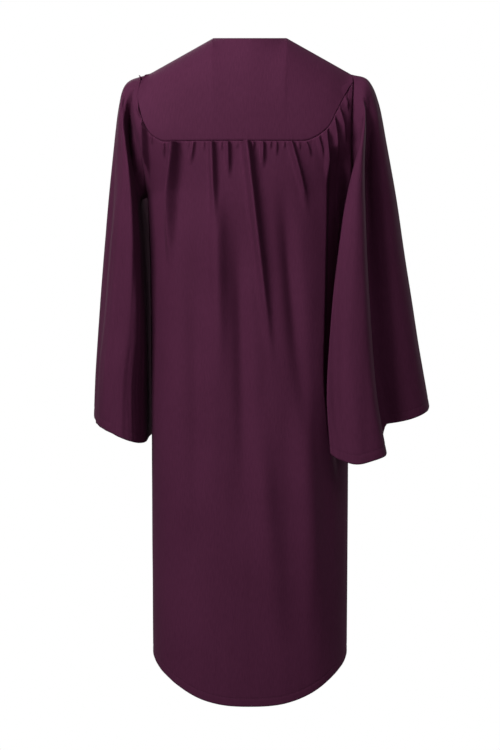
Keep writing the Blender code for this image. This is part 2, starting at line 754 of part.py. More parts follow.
def make_sleeve(name, rows, folds, mirror, cloth):
    point = sleeve_maker(rows, folds, mirror)
    grid = []
    for t in SLEEVE_ROWS:
        row = []
        for k in range(SLEEVE_COLUMNS):
            turn = k / SLEEVE_COLUMNS
            normal = sleeve_normal(point, turn, t, SLEEVE_ROWS[-1], mirror)
            if t == 0:
                normal = Vector((0, normal.y, normal.z)).normalized()
            row.append((turn, point(turn, t), normal))
        grid.append(row)
    cloth_wall(name, grid, cloth, closed=True)


def make_tape(name, edge, mirror, tape):
    """Zip tape behind a front's edge, from the V to the zip's end."""
    rows = []
    for beside, outer in edge:
        if -beside[1].z > ZIP_END_DROP + SEAM:
            break
        row = []
        for place, point, normal in (beside, outer):
            row.append((place, point - normal * (WALL + SEAM), normal))
        middle = row[0][1].copy()
        middle.x = TAPE_INNER * mirror
        rows.append([(-TAPE_INNER, middle, row[0][2])] + row)
    cloth_wall(name, rows, tape, thickness=TAPE_WALL)


def block(low, high, edge):
    """Box between two corners with softened edges."""
    bm = bmesh.new()
    made = bmesh.ops.create_cube(bm, size=1)["verts"]
    size = Vector(high) - Vector(low)
    bmesh.ops.scale(bm, vec=size, verts=made)
    bmesh.ops.translate(bm, vec=Vector(low) + size / 2, verts=made)
    if edge:
        bmesh.ops.bevel(bm, geom=bm.edges[:], offset=edge, segments=2, profile=0.5, affect="EDGES", material=-1)
    return bm


def bail(face):
    """Arch over the slider's face that the pull's bar turns in."""
    bm = bmesh.new()
    foot = face - PULL_EDGE
    outline = [
        (foot, -BAIL_HALF_HEIGHT), (face + BAIL_RISE, -BAIL_HALF_HEIGHT), (face + BAIL_RISE, BAIL_HALF_HEIGHT),
        (foot, BAIL_HALF_HEIGHT), (foot, BAIL_OPENING_HALF), (face + BAIL_OPENING_RISE, BAIL_OPENING_HALF),
        (face + BAIL_OPENING_RISE, -BAIL_OPENING_HALF), (foot, -BAIL_OPENING_HALF)]
    side = bm.faces.new([bm.verts.new((-BAIL_HALF_WIDTH, y, z)) for y, z in outline])
    made = bmesh.ops.extrude_face_region(bm, geom=[side])["geom"]
    moved = [piece for piece in made if isinstance(piece, bmesh.types.BMVert)]
    bmesh.ops.translate(bm, vec=(2 * BAIL_HALF_WIDTH, 0, 0), verts=moved)
    return bm


def combined(name, bm, other, operation, material):
    """One body of a shape and another that is joined to it or cut out of it."""
    solid = add_object(name, bm, material, smooth=False)
    tool = add_object(name + "_tool", other, material, smooth=False)
    step = solid.modifiers.new("combine", "BOOLEAN")
    step.operation = operation
    step.object = tool
    shaped = bpy.data.meshes.new_from_object(solid.evaluated_get(bpy.context.evaluated_depsgraph_get()))
    solid.modifiers.clear()
    solid.data = shaped
    bpy.data.objects.remove(tool)
    return solid


def make_zip(edges, tape, metal):
    """Tapes, slider and pull tab."""
    for name, mirror in (("zip_tape_left", 1), ("zip_tape_right", -1)):
        make_tape(name, edges[mirror], mirror, tape)
    edge = [beside[1] for beside, _ in edges[1]]
    after = next(i for i, point in enumerate(edge) if -point.z > SLIDER_DROP)
    upper, lower = edge[after - 1], edge[after]
    down = Vector((0, lower.y - upper.y, lower.z - upper.z)).normalized()
    out = Vector((0, down.z, -down.y))
    on_cloth = Vector((0, upper.y, upper.z)) + down * ((-SLIDER_DROP - upper.z) / down.z)
    base = on_cloth - out * WALL
    frame = Matrix((Vector((-1, 0, 0)), out, -down)).transposed().to_4x4()
    frame.translation = base
    face = SLIDER_THICKNESS
    body_block = block((-SLIDER_HALF_WIDTH, 0, -SLIDER_HALF_HEIGHT),
                       (SLIDER_HALF_WIDTH, face, SLIDER_HALF_HEIGHT), PULL_EDGE)
    slider = combined("zip_slider", body_block, bail(face), "UNION", metal)
    slider.matrix_world = frame
    plate = block((-PULL_HALF_WIDTH, -PULL_THICKNESS / 2, -PULL_LENGTH),
                  (PULL_HALF_WIDTH, PULL_THICKNESS / 2, PULL_BAR / 2), PULL_EDGE / 2)
    window = block((-PULL_WINDOW_HALF, -PULL_BAR, -PULL_WINDOW_END),
                   (PULL_WINDOW_HALF, PULL_BAR, -PULL_BAR / 2), 0)
    pull = combined("zip_pull", plate, window, "DIFFERENCE", metal)
    pull.matrix_world = frame @ Matrix.Translation((0, face + PULL_AXIS_RISE, 0))


def main():
    for thing in list(bpy.data.objects):
        bpy.data.objects.remove(thing)
    cloth = fabric("gown_cloth", (0.058, 0.016, 0.036), 0.8)
    tape = fabric("zip_tape", (0.045, 0.013, 0.028), 0.85)
    metal = fabric("zip_enamel", (0.040, 0.012, 0.026), 0.4)
    make_back(cloth)
    edges = {1: make_front("front_left", 1, cloth), -1: make_front("front_right", -1, cloth)}
    make_sleeve("sleeve_left", SLEEVE_LEFT, LEFT_SLEEVE_FOLDS, 1, cloth)
    make_sleeve("sleeve_right", SLEEVE_RIGHT, RIGHT_SLEEVE_FOLDS, -1, cloth)
    make_zip(edges, tape, metal)


main()
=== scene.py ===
# %% [markdown]
# A graduation gown is a few large pieces of matte twill sewn together: a smooth back yoke, a gathered
# back panel, two plain fronts with a zip between them and two wide bell sleeves. Here it is filled out
# as worn. Each piece could be simulated as cloth, but the gathers and the large folds have their own
# places, so each piece is a dense grid that is moved onto a form worked out from the gown's sizes, and
# its folds are added to that form one by one.

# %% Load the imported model
import math
from collections import namedtuple

import bmesh
import bpy
import numpy as np
from mathutils import Matrix, Vector, noise


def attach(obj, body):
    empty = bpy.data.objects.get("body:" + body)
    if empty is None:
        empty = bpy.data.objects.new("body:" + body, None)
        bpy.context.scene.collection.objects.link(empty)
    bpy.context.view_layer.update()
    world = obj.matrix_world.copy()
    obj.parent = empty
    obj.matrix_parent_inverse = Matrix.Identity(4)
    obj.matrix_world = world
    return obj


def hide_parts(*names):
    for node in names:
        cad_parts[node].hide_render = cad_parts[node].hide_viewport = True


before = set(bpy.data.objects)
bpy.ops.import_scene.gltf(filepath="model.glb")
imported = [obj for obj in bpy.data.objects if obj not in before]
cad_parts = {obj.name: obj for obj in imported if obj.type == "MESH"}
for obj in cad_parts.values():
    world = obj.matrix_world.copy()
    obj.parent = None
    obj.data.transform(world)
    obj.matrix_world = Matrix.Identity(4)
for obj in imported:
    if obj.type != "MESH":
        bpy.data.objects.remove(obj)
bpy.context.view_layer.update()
print("nodes:", sorted(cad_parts))

# %% [markdown]
# The sizes come first. A drop is a distance below the neck points, a side is 1 for the back and -1 for
# the front, and a share goes from 0 in the middle of a level section to 1 or -1 at its two side seams.
# Short tables hold what changes down the gown, and a smooth curve through a table's rows gives
# everything between them.

# %% Sizes of the gown
WALL = 0.0015
HALF_SEAM = 0.00002
ARMHOLE_SEAM = 0.0002
ARMHOLE_PULL = 8
ARMHOLE_CLEAR = 0.025
ARMHOLE_RISE = 0.040
NECK_HALF = 0.071
BACK_NECK_DEPTH = 0.055
BACK_NECK_DROP = 0.0113
BACK_NECK_ROUND = 1.7
V_DEPTH = 0.105
V_DROP = 0.130
CHEST_ROUND = 1.6
TIP_X = 0.199
TIP_DROP = 0.072
UNDERARM_DROP = 0.310
ARMHOLE_BACK = 0.070
ARMHOLE_FRONT = 0.060
ARMHOLE_MIDDLE = (TIP_DROP + UNDERARM_DROP) / 2
ARMHOLE_HALF = (UNDERARM_DROP - TIP_DROP) / 2
SQUARENESS = 2.5
HEM_SIDE_DROP = 1.196
HEM_BACK_DIP = 0.078
HEM_FRONT_DIP = 0.050
HEM_CURVE = 2.6
CHEST_DROP = 0.200
ZIP_HALF_GAP = 0.0045
ZIP_END_DROP = 1.000
CLOSED_DROP = 1.020


def table(columns, *rows):
    """A table as one array for each named column."""
    return namedtuple("Table", columns)(*(np.array(column, float) for column in zip(*rows)))


BODY = table(
    "drop half_width back front",
    (0.070, 0.199, 0.080, 0.070),
    (0.150, 0.199, 0.105, 0.104),
    (0.217, 0.199, 0.118, 0.119),
    (0.310, 0.199, 0.126, 0.124),
    (0.450, 0.194, 0.128, 0.122),
    (0.700, 0.192, 0.133, 0.124),
    (1.000, 0.190, 0.141, 0.130),
    (1.280, 0.188, 0.150, 0.137),
)
ARMHOLE_LEFT = table(
    "drop x",
    (0.072, 0.1990), (0.090, 0.2140), (0.118, 0.2245), (0.150, 0.2245), (0.188, 0.2190),
    (0.225, 0.2105), (0.266, 0.2035), (0.310, 0.1990))
ARMHOLE_RIGHT = table(
    "drop x",
    (0.072, 0.1990), (0.090, 0.1985), (0.127, 0.1955), (0.165, 0.1935), (0.210, 0.1925),
    (0.250, 0.1940), (0.285, 0.1970), (0.310, 0.1990))
YOKE_SEAM_LEFT = table(
    "across drop",
    (0.700, 0.2165), (0.760, 0.2163), (0.791, 0.2146), (0.866, 0.2033), (0.900, 0.1883), (0.919, 0.1733),
    (0.930, 0.1580), (0.943, 0.1402), (0.955, 0.1146), (0.978, 0.0906), (1.000, 0.0780))
YOKE_SEAM_RIGHT = table(
    "across drop",
    (0.500, 0.2165), (0.560, 0.2150), (0.640, 0.2085), (0.693, 0.2020), (0.781, 0.1850), (0.831, 0.1640),
    (0.871, 0.1476), (0.917, 0.1275), (0.956, 0.1110), (1.000, 0.0950))
print("rows of the body table:", len(BODY.drop))

# %% Smooth curves through a table


def ease(t):
    """Smooth step from 0 to 1."""
    t = np.clip(t, 0.0, 1.0)
    return t * t * (3 - 2 * t)


def mix(a, b, t):
    return a + (b - a) * t


def curve_weights(keys, at):
    """What each row of a table counts for at each place, in a smooth curve through the rows."""
    keys, at = np.asarray(keys, float), np.atleast_1d(np.asarray(at, float))
    at = np.clip(at, keys[0], keys[-1])
    first = np.clip(np.searchsorted(keys, at, side="right") - 1, 0, len(keys) - 2)
    span = keys[first + 1] - keys[first]
    t = (at - keys[first]) / span
    weights = np.zeros((len(at), len(keys)))
    n = np.arange(len(at))
    weights[n, first] += 2 * t**3 - 3 * t**2 + 1
    weights[n, first + 1] += 3 * t**2 - 2 * t**3
    for end, pull in ((first, t**3 - 2 * t**2 + t), (first + 1, t**3 - t**2)):
        low, high = np.maximum(end - 1, 0), np.minimum(end + 1, len(keys) - 1)
        slope = pull * span / (keys[high] - keys[low])
        weights[n, high] += slope
        weights[n, low] -= slope
    return weights


def through(keys, values, at):
    return curve_weights(keys, at) @ values


def points(x, y, z):
    return np.stack(np.broadcast_arrays(x, y, z), axis=-1).astype(float)


def unit(vectors):
    return vectors / np.maximum(np.linalg.norm(vectors, axis=-1, keepdims=True), 1e-9)


def hermite(start, start_pull, end, end_pull, t):
    """Curves from start to end that leave along start_pull and arrive along end_pull."""
    t = np.asarray(t, float)[..., None]
    return (start * (2 * t**3 - 3 * t**2 + 1) + start_pull * (t**3 - 2 * t**2 + t)
            + end * (3 * t**2 - 2 * t**3) + end_pull * (t**3 - t**2))


print("body depth at the underarm:", through(BODY.drop, BODY.back, UNDERARM_DROP))

# %% [markdown]
# A level section of the body is a rounded square. Its columns have to be evenly spaced along the cloth,
# not along the width, or the cloth round the sides would be stretched on the grid. The share of a
# column is therefore turned into a place on the section through a measured quarter of it.

# %% Level sections of the body
ARC_STEPS = 600
ARC_ANGLES = np.linspace(0, math.pi / 2, ARC_STEPS + 1)
ARC = points(TIP_X * np.sin(ARC_ANGLES) ** (2 / SQUARENESS),
             BODY.back[3] * np.clip(np.cos(ARC_ANGLES), 0, 1) ** (2 / SQUARENESS), 0)
ARC_LENGTHS = np.concatenate([[0], np.cumsum(np.linalg.norm(np.diff(ARC, axis=0), axis=1))])
QUARTER_LENGTH = ARC_LENGTHS[-1]
SHARES = ARC_LENGTHS / QUARTER_LENGTH


def section(share):
    """Sideways and depth parts, from 0 to 1, of a place along a quarter section."""
    angle = np.interp(np.abs(share), SHARES, ARC_ANGLES)
    sideways = np.sin(angle) ** (2 / SQUARENESS)
    return np.copysign(sideways, share), np.clip(np.cos(angle), 0, 1) ** (2 / SQUARENESS)


def share_of(across):
    """Place along the quarter section of a sideways part."""
    angle = np.arcsin(np.clip(np.abs(across), 0, 1) ** (SQUARENESS / 2))
    return np.copysign(np.interp(angle, ARC_ANGLES, SHARES), across)


def armhole_x(drop, share):
    """How far out the armhole seam lies on the left or the right, by the sign of share."""
    left = through(ARMHOLE_LEFT.drop, ARMHOLE_LEFT.x, drop)
    right = through(ARMHOLE_RIGHT.drop, ARMHOLE_RIGHT.x, drop)
    return np.where(np.asarray(share) >= 0, left, right)


def armhole_y(drop, side):
    level = np.clip((ARMHOLE_MIDDLE - drop) / ARMHOLE_HALF, -1, 1)
    return (ARMHOLE_BACK if side > 0 else ARMHOLE_FRONT) * np.sqrt(1 - level**2)


def edge_of(share, drop):
    """Half width of the body at a drop, on the left or the right."""
    below = through(BODY.drop, BODY.half_width, drop)
    return np.where(drop < UNDERARM_DROP, armhole_x(drop, share), below)


def body(share, drop, side, gap=0.0):
    """The smooth body before its folds."""
    share, drop = np.broadcast_arrays(np.asarray(share, float), np.asarray(drop, float))
    sideways, depth = section(share)
    at_seam = armhole_y(drop, side)
    widest = ARMHOLE_BACK if side > 0 else ARMHOLE_FRONT
    inside = widest * (at_seam / widest) ** 3
    edge_y = np.where(drop < UNDERARM_DROP, mix(inside, at_seam, np.abs(sideways) ** 24), 0.0)
    full = through(BODY.drop, BODY.back if side > 0 else BODY.front, drop)
    x = np.copysign(gap + (edge_of(share, drop) - gap) * np.abs(sideways), share)
    return points(x, side * (HALF_SEAM + edge_y + (full - edge_y) * depth), -drop)


def beside_armhole(at, share, side):
    """Puts an edge on the armhole seam, and keeps the cloth next to it from reaching past the seam."""
    sideways, depth = section(share)
    drop = np.maximum(-at[:, 2], TIP_DROP)
    edge_x, edge_y = edge_of(share, drop), armhole_y(drop, side)
    held = mix(np.abs(at[:, 0]), np.abs(sideways) * edge_x, np.abs(sideways) ** ARMHOLE_PULL)
    x = np.minimum(np.abs(at[:, 0]), held)
    clear = ARMHOLE_CLEAR * depth * ease((drop - TIP_DROP) / ARMHOLE_RISE)
    y = np.maximum(np.abs(at[:, 1]), HALF_SEAM + edge_y + clear)
    at_edge = np.abs(share) >= 1
    x, y = np.where(at_edge, edge_x, x), np.where(at_edge, HALF_SEAM + edge_y, y)
    return points(np.copysign(x, at[:, 0]), side * y, np.where(at_edge, -drop, at[:, 2]))


def hem_drop(share, dip):
    return HEM_SIDE_DROP + dip * (1 - np.abs(section(share)[0]) ** HEM_CURVE)


def yoke_drop(share):
    """Drop of the back yoke's seam: level in the middle, rising to each armhole in its own way."""
    across = np.abs(section(share)[0])
    left = through(YOKE_SEAM_LEFT.across, YOKE_SEAM_LEFT.drop, across)
    right = through(YOKE_SEAM_RIGHT.across, YOKE_SEAM_RIGHT.drop, across)
    return np.where(np.asarray(share) >= 0, left, right)


def shoulder_drop(x):
    return TIP_DROP * (x - NECK_HALF) / (TIP_X - NECK_HALF)


print("a quarter of the body's section is", round(float(QUARTER_LENGTH), 4), "m of cloth")

# %% [markdown]
# Every sheet is made the same way: a bmesh grid, whose vertices are then moved onto the form. A grid
# keeps its rows and columns, so the UV map can be written from them in metres, and the weave follows
# the cloth. Solidify gives the sheet its thickness at the end. Its faces have to look outwards first,
# because Solidify works from the normals.

# %% Make a sheet of cloth
SLOPE_STEP = 0.002


def normals_of(form, across, along, sign, low=-1.0):
    """Normals of form(across, along). The sign says which way round the form's own directions turn."""
    across, along = np.clip(across, low + SLOPE_STEP, 1 - SLOPE_STEP), np.clip(along, SLOPE_STEP, 1 - SLOPE_STEP)
    sideways = form(across + SLOPE_STEP, along) - form(across - SLOPE_STEP, along)
    downwards = form(across, along + SLOPE_STEP) - form(across, along - SLOPE_STEP)
    return unit(np.cross(sideways, downwards)) * sign


def cloth_sheet(name, columns, rows, place, material, closed=False, thickness=0.0012):
    """A sheet whose grid is moved by place(u, v), which gives the points and the cloth's own metres."""
    bm = bmesh.new()
    bmesh.ops.create_grid(bm, x_segments=columns, y_segments=rows, size=0.5)
    mesh = bpy.data.meshes.new(name)
    bm.to_mesh(mesh)
    bm.free()
    count = len(mesh.vertices)
    flat = np.empty(count * 3)
    mesh.vertices.foreach_get("co", flat)
    u, v = flat.reshape(-1, 3)[:, 0] + 0.5, flat.reshape(-1, 3)[:, 1] + 0.5
    at, metres = place(u, v)
    mesh.vertices.foreach_set("co", at.astype(np.float32).ravel())
    corners = np.empty(len(mesh.loops), np.int32)
    mesh.loops.foreach_get("vertex_index", corners)
    layer = mesh.uv_layers.new(name="cloth")
    layer.data.foreach_set("uv", metres[corners].astype(np.float32).ravel())
    mesh.update()
    middle = mesh.polygons[len(mesh.polygons) // 2]
    bm = bmesh.new()
    bm.from_mesh(mesh)
    if closed:
        rim = [edge for edge in bm.edges if edge.is_boundary]
        verts = list({vert for edge in rim for vert in edge.verts})
        bmesh.ops.remove_doubles(bm, verts=verts, dist=1e-5)
    outward = middle.center - Vector((closed_middle(at) if closed else (0, 0, middle.center.z)))
    if middle.normal.dot(outward) < 0:
        bmesh.ops.reverse_faces(bm, faces=bm.faces[:])
    for face in bm.faces:
        face.smooth = True
    bm.to_mesh(mesh)
    bm.free()
    mesh.materials.append(material)
    piece = bpy.data.objects.new(name, mesh)
    bpy.context.scene.collection.objects.link(piece)
    wall = piece.modifiers.new("wall", "SOLIDIFY")
    wall.thickness = thickness
    wall.offset = -1
    print(name, len(mesh.polygons), "faces")
    return piece


def closed_middle(at):
    """Middle of a tube's points."""
    return tuple(at.mean(axis=0))


# %% [markdown]
# A fold is a row in a table: where it starts and ends, how deep it is and how wide. Its depth fades in
# below the seam and fades out again. The folds that the eye notices are set one by one, and a little
# slow noise, stretched along the hang of the cloth, keeps the rest from looking like plastic.

# %% Folds
BACK_FOLDS = table(
    "x_top x_low start length depth half_width",
    (0.2090, 0.2160, 0.000, 0.050, 0.0030, 0.0040),
    (0.1990, 0.1920, 0.000, 0.170, 0.0070, 0.0052),
    (0.1860, 0.1860, 0.000, 0.024, 0.0013, 0.0026),
    (0.1620, 0.1620, 0.000, 0.034, 0.0022, 0.0032),
    (0.1430, 0.1530, 0.000, 0.250, 0.0095, 0.0085),
    (0.1160, 0.1150, 0.000, 0.018, 0.0012, 0.0024),
    (0.1060, 0.1120, 0.000, 0.048, 0.0024, 0.0034),
    (0.0870, 0.0870, 0.000, 0.022, 0.0013, 0.0024),
    (0.0724, 0.0640, 0.000, 0.170, 0.0056, 0.0056),
    (0.0620, 0.0560, 0.060, 0.420, 0.0060, 0.0150),
    (0.0536, 0.0536, 0.000, 0.022, 0.0013, 0.0024),
    (0.0423, 0.0400, 0.000, 0.076, 0.0038, 0.0042),
    (0.0240, 0.0240, 0.000, 0.016, 0.0010, 0.0026),
    (0.0066, -0.0440, 0.000, 0.440, 0.0085, 0.0075),
    (-0.0065, -0.0065, 0.000, 0.022, 0.0013, 0.0024),
    (-0.0237, -0.0240, 0.000, 0.056, 0.0034, 0.0040),
    (-0.0380, -0.0384, 0.000, 0.018, 0.0012, 0.0024),
    (-0.0488, -0.0494, 0.000, 0.032, 0.0020, 0.0028),
    (-0.0634, -0.0640, 0.000, 0.018, 0.0012, 0.0024),
    (-0.0760, -0.1120, 0.000, 0.140, 0.0048, 0.0050),
    (-0.0910, -0.0930, 0.000, 0.022, 0.0013, 0.0024),
    (-0.1040, -0.1160, 0.000, 0.036, 0.0020, 0.0030),
    (-0.1270, -0.1420, 0.000, 0.062, 0.0028, 0.0036),
    (-0.1416, -0.1500, 0.000, 0.115, 0.0048, 0.0042),
    (-0.1562, -0.1680, 0.000, 0.110, 0.0048, 0.0042),
    (-0.1660, -0.1840, 0.000, 0.110, 0.0042, 0.0040),
    (-0.1790, -0.1880, 0.000, 0.050, 0.0024, 0.0034),
    (0.0240, 0.0060, 0.120, 0.620, -0.0045, 0.0160),
    (-0.0600, -0.1060, 0.060, 0.520, -0.0050, 0.0160),
    (0.1050, 0.0960, 0.150, 0.780, -0.0040, 0.0240),
    (-0.0950, -0.1250, 0.420, 0.620, 0.0045, 0.0240),
    (-0.0100, -0.0600, 0.480, 0.560, 0.0040, 0.0260),
)
FRONT_FOLDS = table(
    "x_top x_low start length depth half_width",
    (0.0900, 0.0820, 0.060, 1.000, 0.0070, 0.0160),
    (0.1250, 0.1180, 0.160, 0.900, -0.0050, 0.0160),
    (0.1520, 0.1460, 0.040, 0.700, 0.0060, 0.0120),
    (0.0550, 0.0520, 0.330, 0.760, -0.0050, 0.0180),
)
RIGHT_FRONT_SHIFT = 0.011
RIGHT_FRONT_DEPTH = 0.85
FOLD_RISE = 0.004


def fold_depth(folds, share, below, half_width, shift=0.0):
    """How far the folds move the cloth out or in, at a distance below the top seam."""
    total = np.zeros(len(share))
    for x_top, x_low, start, length, depth, width in zip(*folds):
        t = (below - start) / length
        rise = FOLD_RISE if start == 0 else length / 3
        strength = ease((below - start) / rise) * ease((1 - t) * 1.6) * ((t > 0) & (t < 1))
        line = mix(x_top + shift, x_low - shift, np.clip(t, 0, 1))
        away = (share - share_of(line / half_width)) * QUARTER_LENGTH / width
        total += depth * strength * np.exp(-away * away)
    return total


def slow_noise(a, b, seed):
    """Slow uneven noise from -1 to 1 over two arrays."""
    return np.array([noise.noise(Vector((x, y, seed))) for x, y in zip(a.tolist(), b.tolist())])


print("folds of the back:", len(BACK_FOLDS.depth))

# %% [markdown]
# The cloth is a fine matte twill. Its ribs are about a millimetre apart, too small to model, so they are
# a bump, and the yarns' unevenness is a slight change of shade. Both are used by the gown and by the zip
# tapes at different pitches, so they make one node group. The pattern is read from the UV map in
# metres, because the ribs follow the cloth and not the room.

# %% Twill node group


def add_node(tree, kind, **values):
    """A node with its settings, or its sockets' values, given by name."""
    node = tree.nodes.new(kind)
    for name, value in values.items():
        if name in node.inputs:
            node.inputs[name].default_value = value
        else:
            setattr(node, name, value)
    return node


def twill_group():
    tree = bpy.data.node_groups.new("fine_twill", "ShaderNodeTree")
    tree.interface.new_socket("Cloth Metres", in_out="INPUT", socket_type="NodeSocketVector")
    tree.interface.new_socket("Ribs", in_out="INPUT", socket_type="NodeSocketFloat")
    tree.interface.new_socket("Shade", in_out="OUTPUT", socket_type="NodeSocketFloat")
    tree.interface.new_socket("Height", in_out="OUTPUT", socket_type="NodeSocketFloat")
    start = add_node(tree, "NodeGroupInput")
    end = add_node(tree, "NodeGroupOutput")
    link = tree.links.new
    ribs = add_node(tree, "ShaderNodeTexWave", wave_type="BANDS", bands_direction="DIAGONAL")
    ribs.inputs["Distortion"].default_value = 1.2
    ribs.inputs["Detail"].default_value = 1.0
    link(start.outputs["Cloth Metres"], ribs.inputs["Vector"])
    link(start.outputs["Ribs"], ribs.inputs["Scale"])
    yarn = add_node(tree, "ShaderNodeTexNoise", Scale=900.0, Detail=2.0)
    link(start.outputs["Cloth Metres"], yarn.inputs["Vector"])
    height = add_node(tree, "ShaderNodeMix", data_type="FLOAT", Factor=0.35)
    link(ribs.outputs["Fac"], height.inputs[2])
    link(yarn.outputs["Fac"], height.inputs[3])
    link(height.outputs[0], end.inputs["Height"])
    slanted = add_node(tree, "ShaderNodeMapping")
    slanted.inputs["Rotation"].default_value = (0, 0, math.radians(45))
    slanted.inputs["Scale"].default_value = (420, 70, 1)
    link(start.outputs["Cloth Metres"], slanted.inputs["Vector"])
    grain = add_node(tree, "ShaderNodeTexNoise", Scale=1.0, Detail=3.0)
    link(slanted.outputs["Vector"], grain.inputs["Vector"])
    broad = add_node(tree, "ShaderNodeTexNoise", Scale=7.0, Detail=2.0)
    link(start.outputs["Cloth Metres"], broad.inputs["Vector"])
    shade = add_node(tree, "ShaderNodeMix", data_type="FLOAT", Factor=0.4)
    link(grain.outputs["Fac"], shade.inputs[2])
    link(broad.outputs["Fac"], shade.inputs[3])
    link(shade.outputs[0], end.inputs["Shade"])
    return tree


TWILL = twill_group()
print("node group:", TWILL.name, len(TWILL.nodes), "nodes")

# %% Cloth, tape and enamel


def cloth_material(name, dark, light, roughness, ribs, relief, sheen, uv_map="cloth"):
    """Twill in two close shades, on the piece's UV map, or on Object coordinates where it has none."""
    material = bpy.data.materials.new(name)
    material.use_nodes = True
    tree = material.node_tree
    shader = tree.nodes["Principled BSDF"]
    shader.inputs["Sheen Weight"].default_value = sheen
    shader.inputs["Sheen Roughness"].default_value = 0.5
    shader.inputs["Sheen Tint"].default_value = (0.50, 0.30, 0.42, 1)
    shader.inputs["Specular IOR Level"].default_value = 0.06
    if uv_map:
        metres = add_node(tree, "ShaderNodeUVMap", uv_map=uv_map).outputs["UV"]
    else:
        metres = add_node(tree, "ShaderNodeTexCoord").outputs["Object"]
    weave = add_node(tree, "ShaderNodeGroup", node_tree=TWILL)
    weave.inputs["Ribs"].default_value = ribs
    tree.links.new(metres, weave.inputs["Cloth Metres"])
    shade = add_node(tree, "ShaderNodeMix", data_type="RGBA")
    shade.inputs[6].default_value = (*dark, 1)
    shade.inputs[7].default_value = (*light, 1)
    contrast = add_node(tree, "ShaderNodeMapRange")
    contrast.inputs["From Min"].default_value = 0.32
    contrast.inputs["From Max"].default_value = 0.68
    tree.links.new(weave.outputs["Shade"], contrast.inputs["Value"])
    tree.links.new(contrast.outputs["Result"], shade.inputs["Factor"])
    tree.links.new(shade.outputs[2], shader.inputs["Base Color"])
    rough = add_node(tree, "ShaderNodeMapRange")
    rough.inputs["To Min"].default_value = roughness - 0.05
    rough.inputs["To Max"].default_value = roughness + 0.05
    tree.links.new(weave.outputs["Height"], rough.inputs["Value"])
    tree.links.new(rough.outputs["Result"], shader.inputs["Roughness"])
    bump = add_node(tree, "ShaderNodeBump", Strength=relief, Distance=0.0003)
    tree.links.new(weave.outputs["Height"], bump.inputs["Height"])
    tree.links.new(bump.outputs["Normal"], shader.inputs["Normal"])
    return material


GOWN_CLOTH = cloth_material("gown_twill", (0.057, 0.0116, 0.0330), (0.073, 0.0158, 0.0432), 0.80, 370, 0.35, 0.02)
TAPE_CLOTH = cloth_material("zip_tape_twill", (0.038, 0.0100, 0.0230), (0.050, 0.0140, 0.0310), 0.85, 640, 0.5, 0.05)
THREAD = cloth_material("sewing_thread", (0.055, 0.0150, 0.0340), (0.085, 0.0250, 0.0540), 0.60, 900, 0.3, 0.10, None)


def enamel_material(name, colour):
    """Satin enamel with a faint unevenness, read on Object coordinates because metal has no weave to follow."""
    material = bpy.data.materials.new(name)
    material.use_nodes = True
    tree = material.node_tree
    shader = tree.nodes["Principled BSDF"]
    shader.inputs["Coat Weight"].default_value = 0.3
    shader.inputs["Coat Roughness"].default_value = 0.25
    place = add_node(tree, "ShaderNodeTexCoord")
    specks = add_node(tree, "ShaderNodeTexNoise", Scale=500.0, Detail=3.0)
    tree.links.new(place.outputs["Object"], specks.inputs["Vector"])
    shade = add_node(tree, "ShaderNodeMix", data_type="RGBA")
    shade.inputs[6].default_value = (*[0.8 * part for part in colour], 1)
    shade.inputs[7].default_value = (*[1.3 * part for part in colour], 1)
    tree.links.new(specks.outputs["Fac"], shade.inputs["Factor"])
    tree.links.new(shade.outputs[2], shader.inputs["Base Color"])
    rough = add_node(tree, "ShaderNodeMapRange")
    rough.inputs["To Min"].default_value = 0.30
    rough.inputs["To Max"].default_value = 0.48
    tree.links.new(specks.outputs["Fac"], rough.inputs["Value"])
    tree.links.new(rough.outputs["Result"], shader.inputs["Roughness"])
    bump = add_node(tree, "ShaderNodeBump", Strength=0.1, Distance=0.0001)
    tree.links.new(specks.outputs["Fac"], bump.inputs["Height"])
    tree.links.new(bump.outputs["Normal"], shader.inputs["Normal"])
    return material


ENAMEL = enamel_material("zip_satin_enamel", (0.040, 0.012, 0.026))
for name in ("zip_slider", "zip_pull"):
    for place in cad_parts[name].material_slots:
        place.material = ENAMEL
print("materials:", [m.name for m in (GOWN_CLOTH, TAPE_CLOTH, THREAD, ENAMEL)])

# %% [markdown]
# The yoke is the flat part of the back, cut in one from the shoulders down to the seam that takes the
# gathers. It is drawn as curves that leave the neck and the shoulder seams and arrive on the body at the
# seam. Gathers pull on the seam, so the last centimetre of the yoke is faintly puckered, and its edge
# is rolled in there, where the seam turns the cloth under.

# %% Back yoke
ROLL = 0.0012
ROLL_WIDTH = 0.0030
EDGE_FADE = 0.06


def side_fade(share):
    """Folds die out at the side seams and the armholes."""
    return ease((1 - np.abs(share)) / EDGE_FADE)


def rolled(distance):
    """How far a sewn edge is turned in, at a distance from its seam."""
    return -ROLL * (1 - ease(distance / ROLL_WIDTH))


def puckers(share, distance, reach, seed):
    """Small uneven puckers beside a gathered seam."""
    fine = slow_noise(share * QUARTER_LENGTH / 0.0050, distance / 0.08, seed)
    coarse = slow_noise(share * QUARTER_LENGTH / 0.011, distance / 0.10, seed + 9)
    return (0.6 * fine + 0.8 * coarse) * np.exp(-np.maximum(distance, 0) / reach) * ease(distance / 0.002)


def yoke_top(share):
    """The neck between the neck points, then the shoulder seams."""
    x = TIP_X * section(share)[0]
    beside = np.clip(np.abs(x) / NECK_HALF, 0, 1)
    y = BACK_NECK_DEPTH * (1 - beside ** BACK_NECK_ROUND) ** (1 / BACK_NECK_ROUND)
    z = np.where(beside < 1, -BACK_NECK_DROP * y / BACK_NECK_DEPTH, -shoulder_drop(np.abs(x)))
    return points(x, HALF_SEAM + y, z)


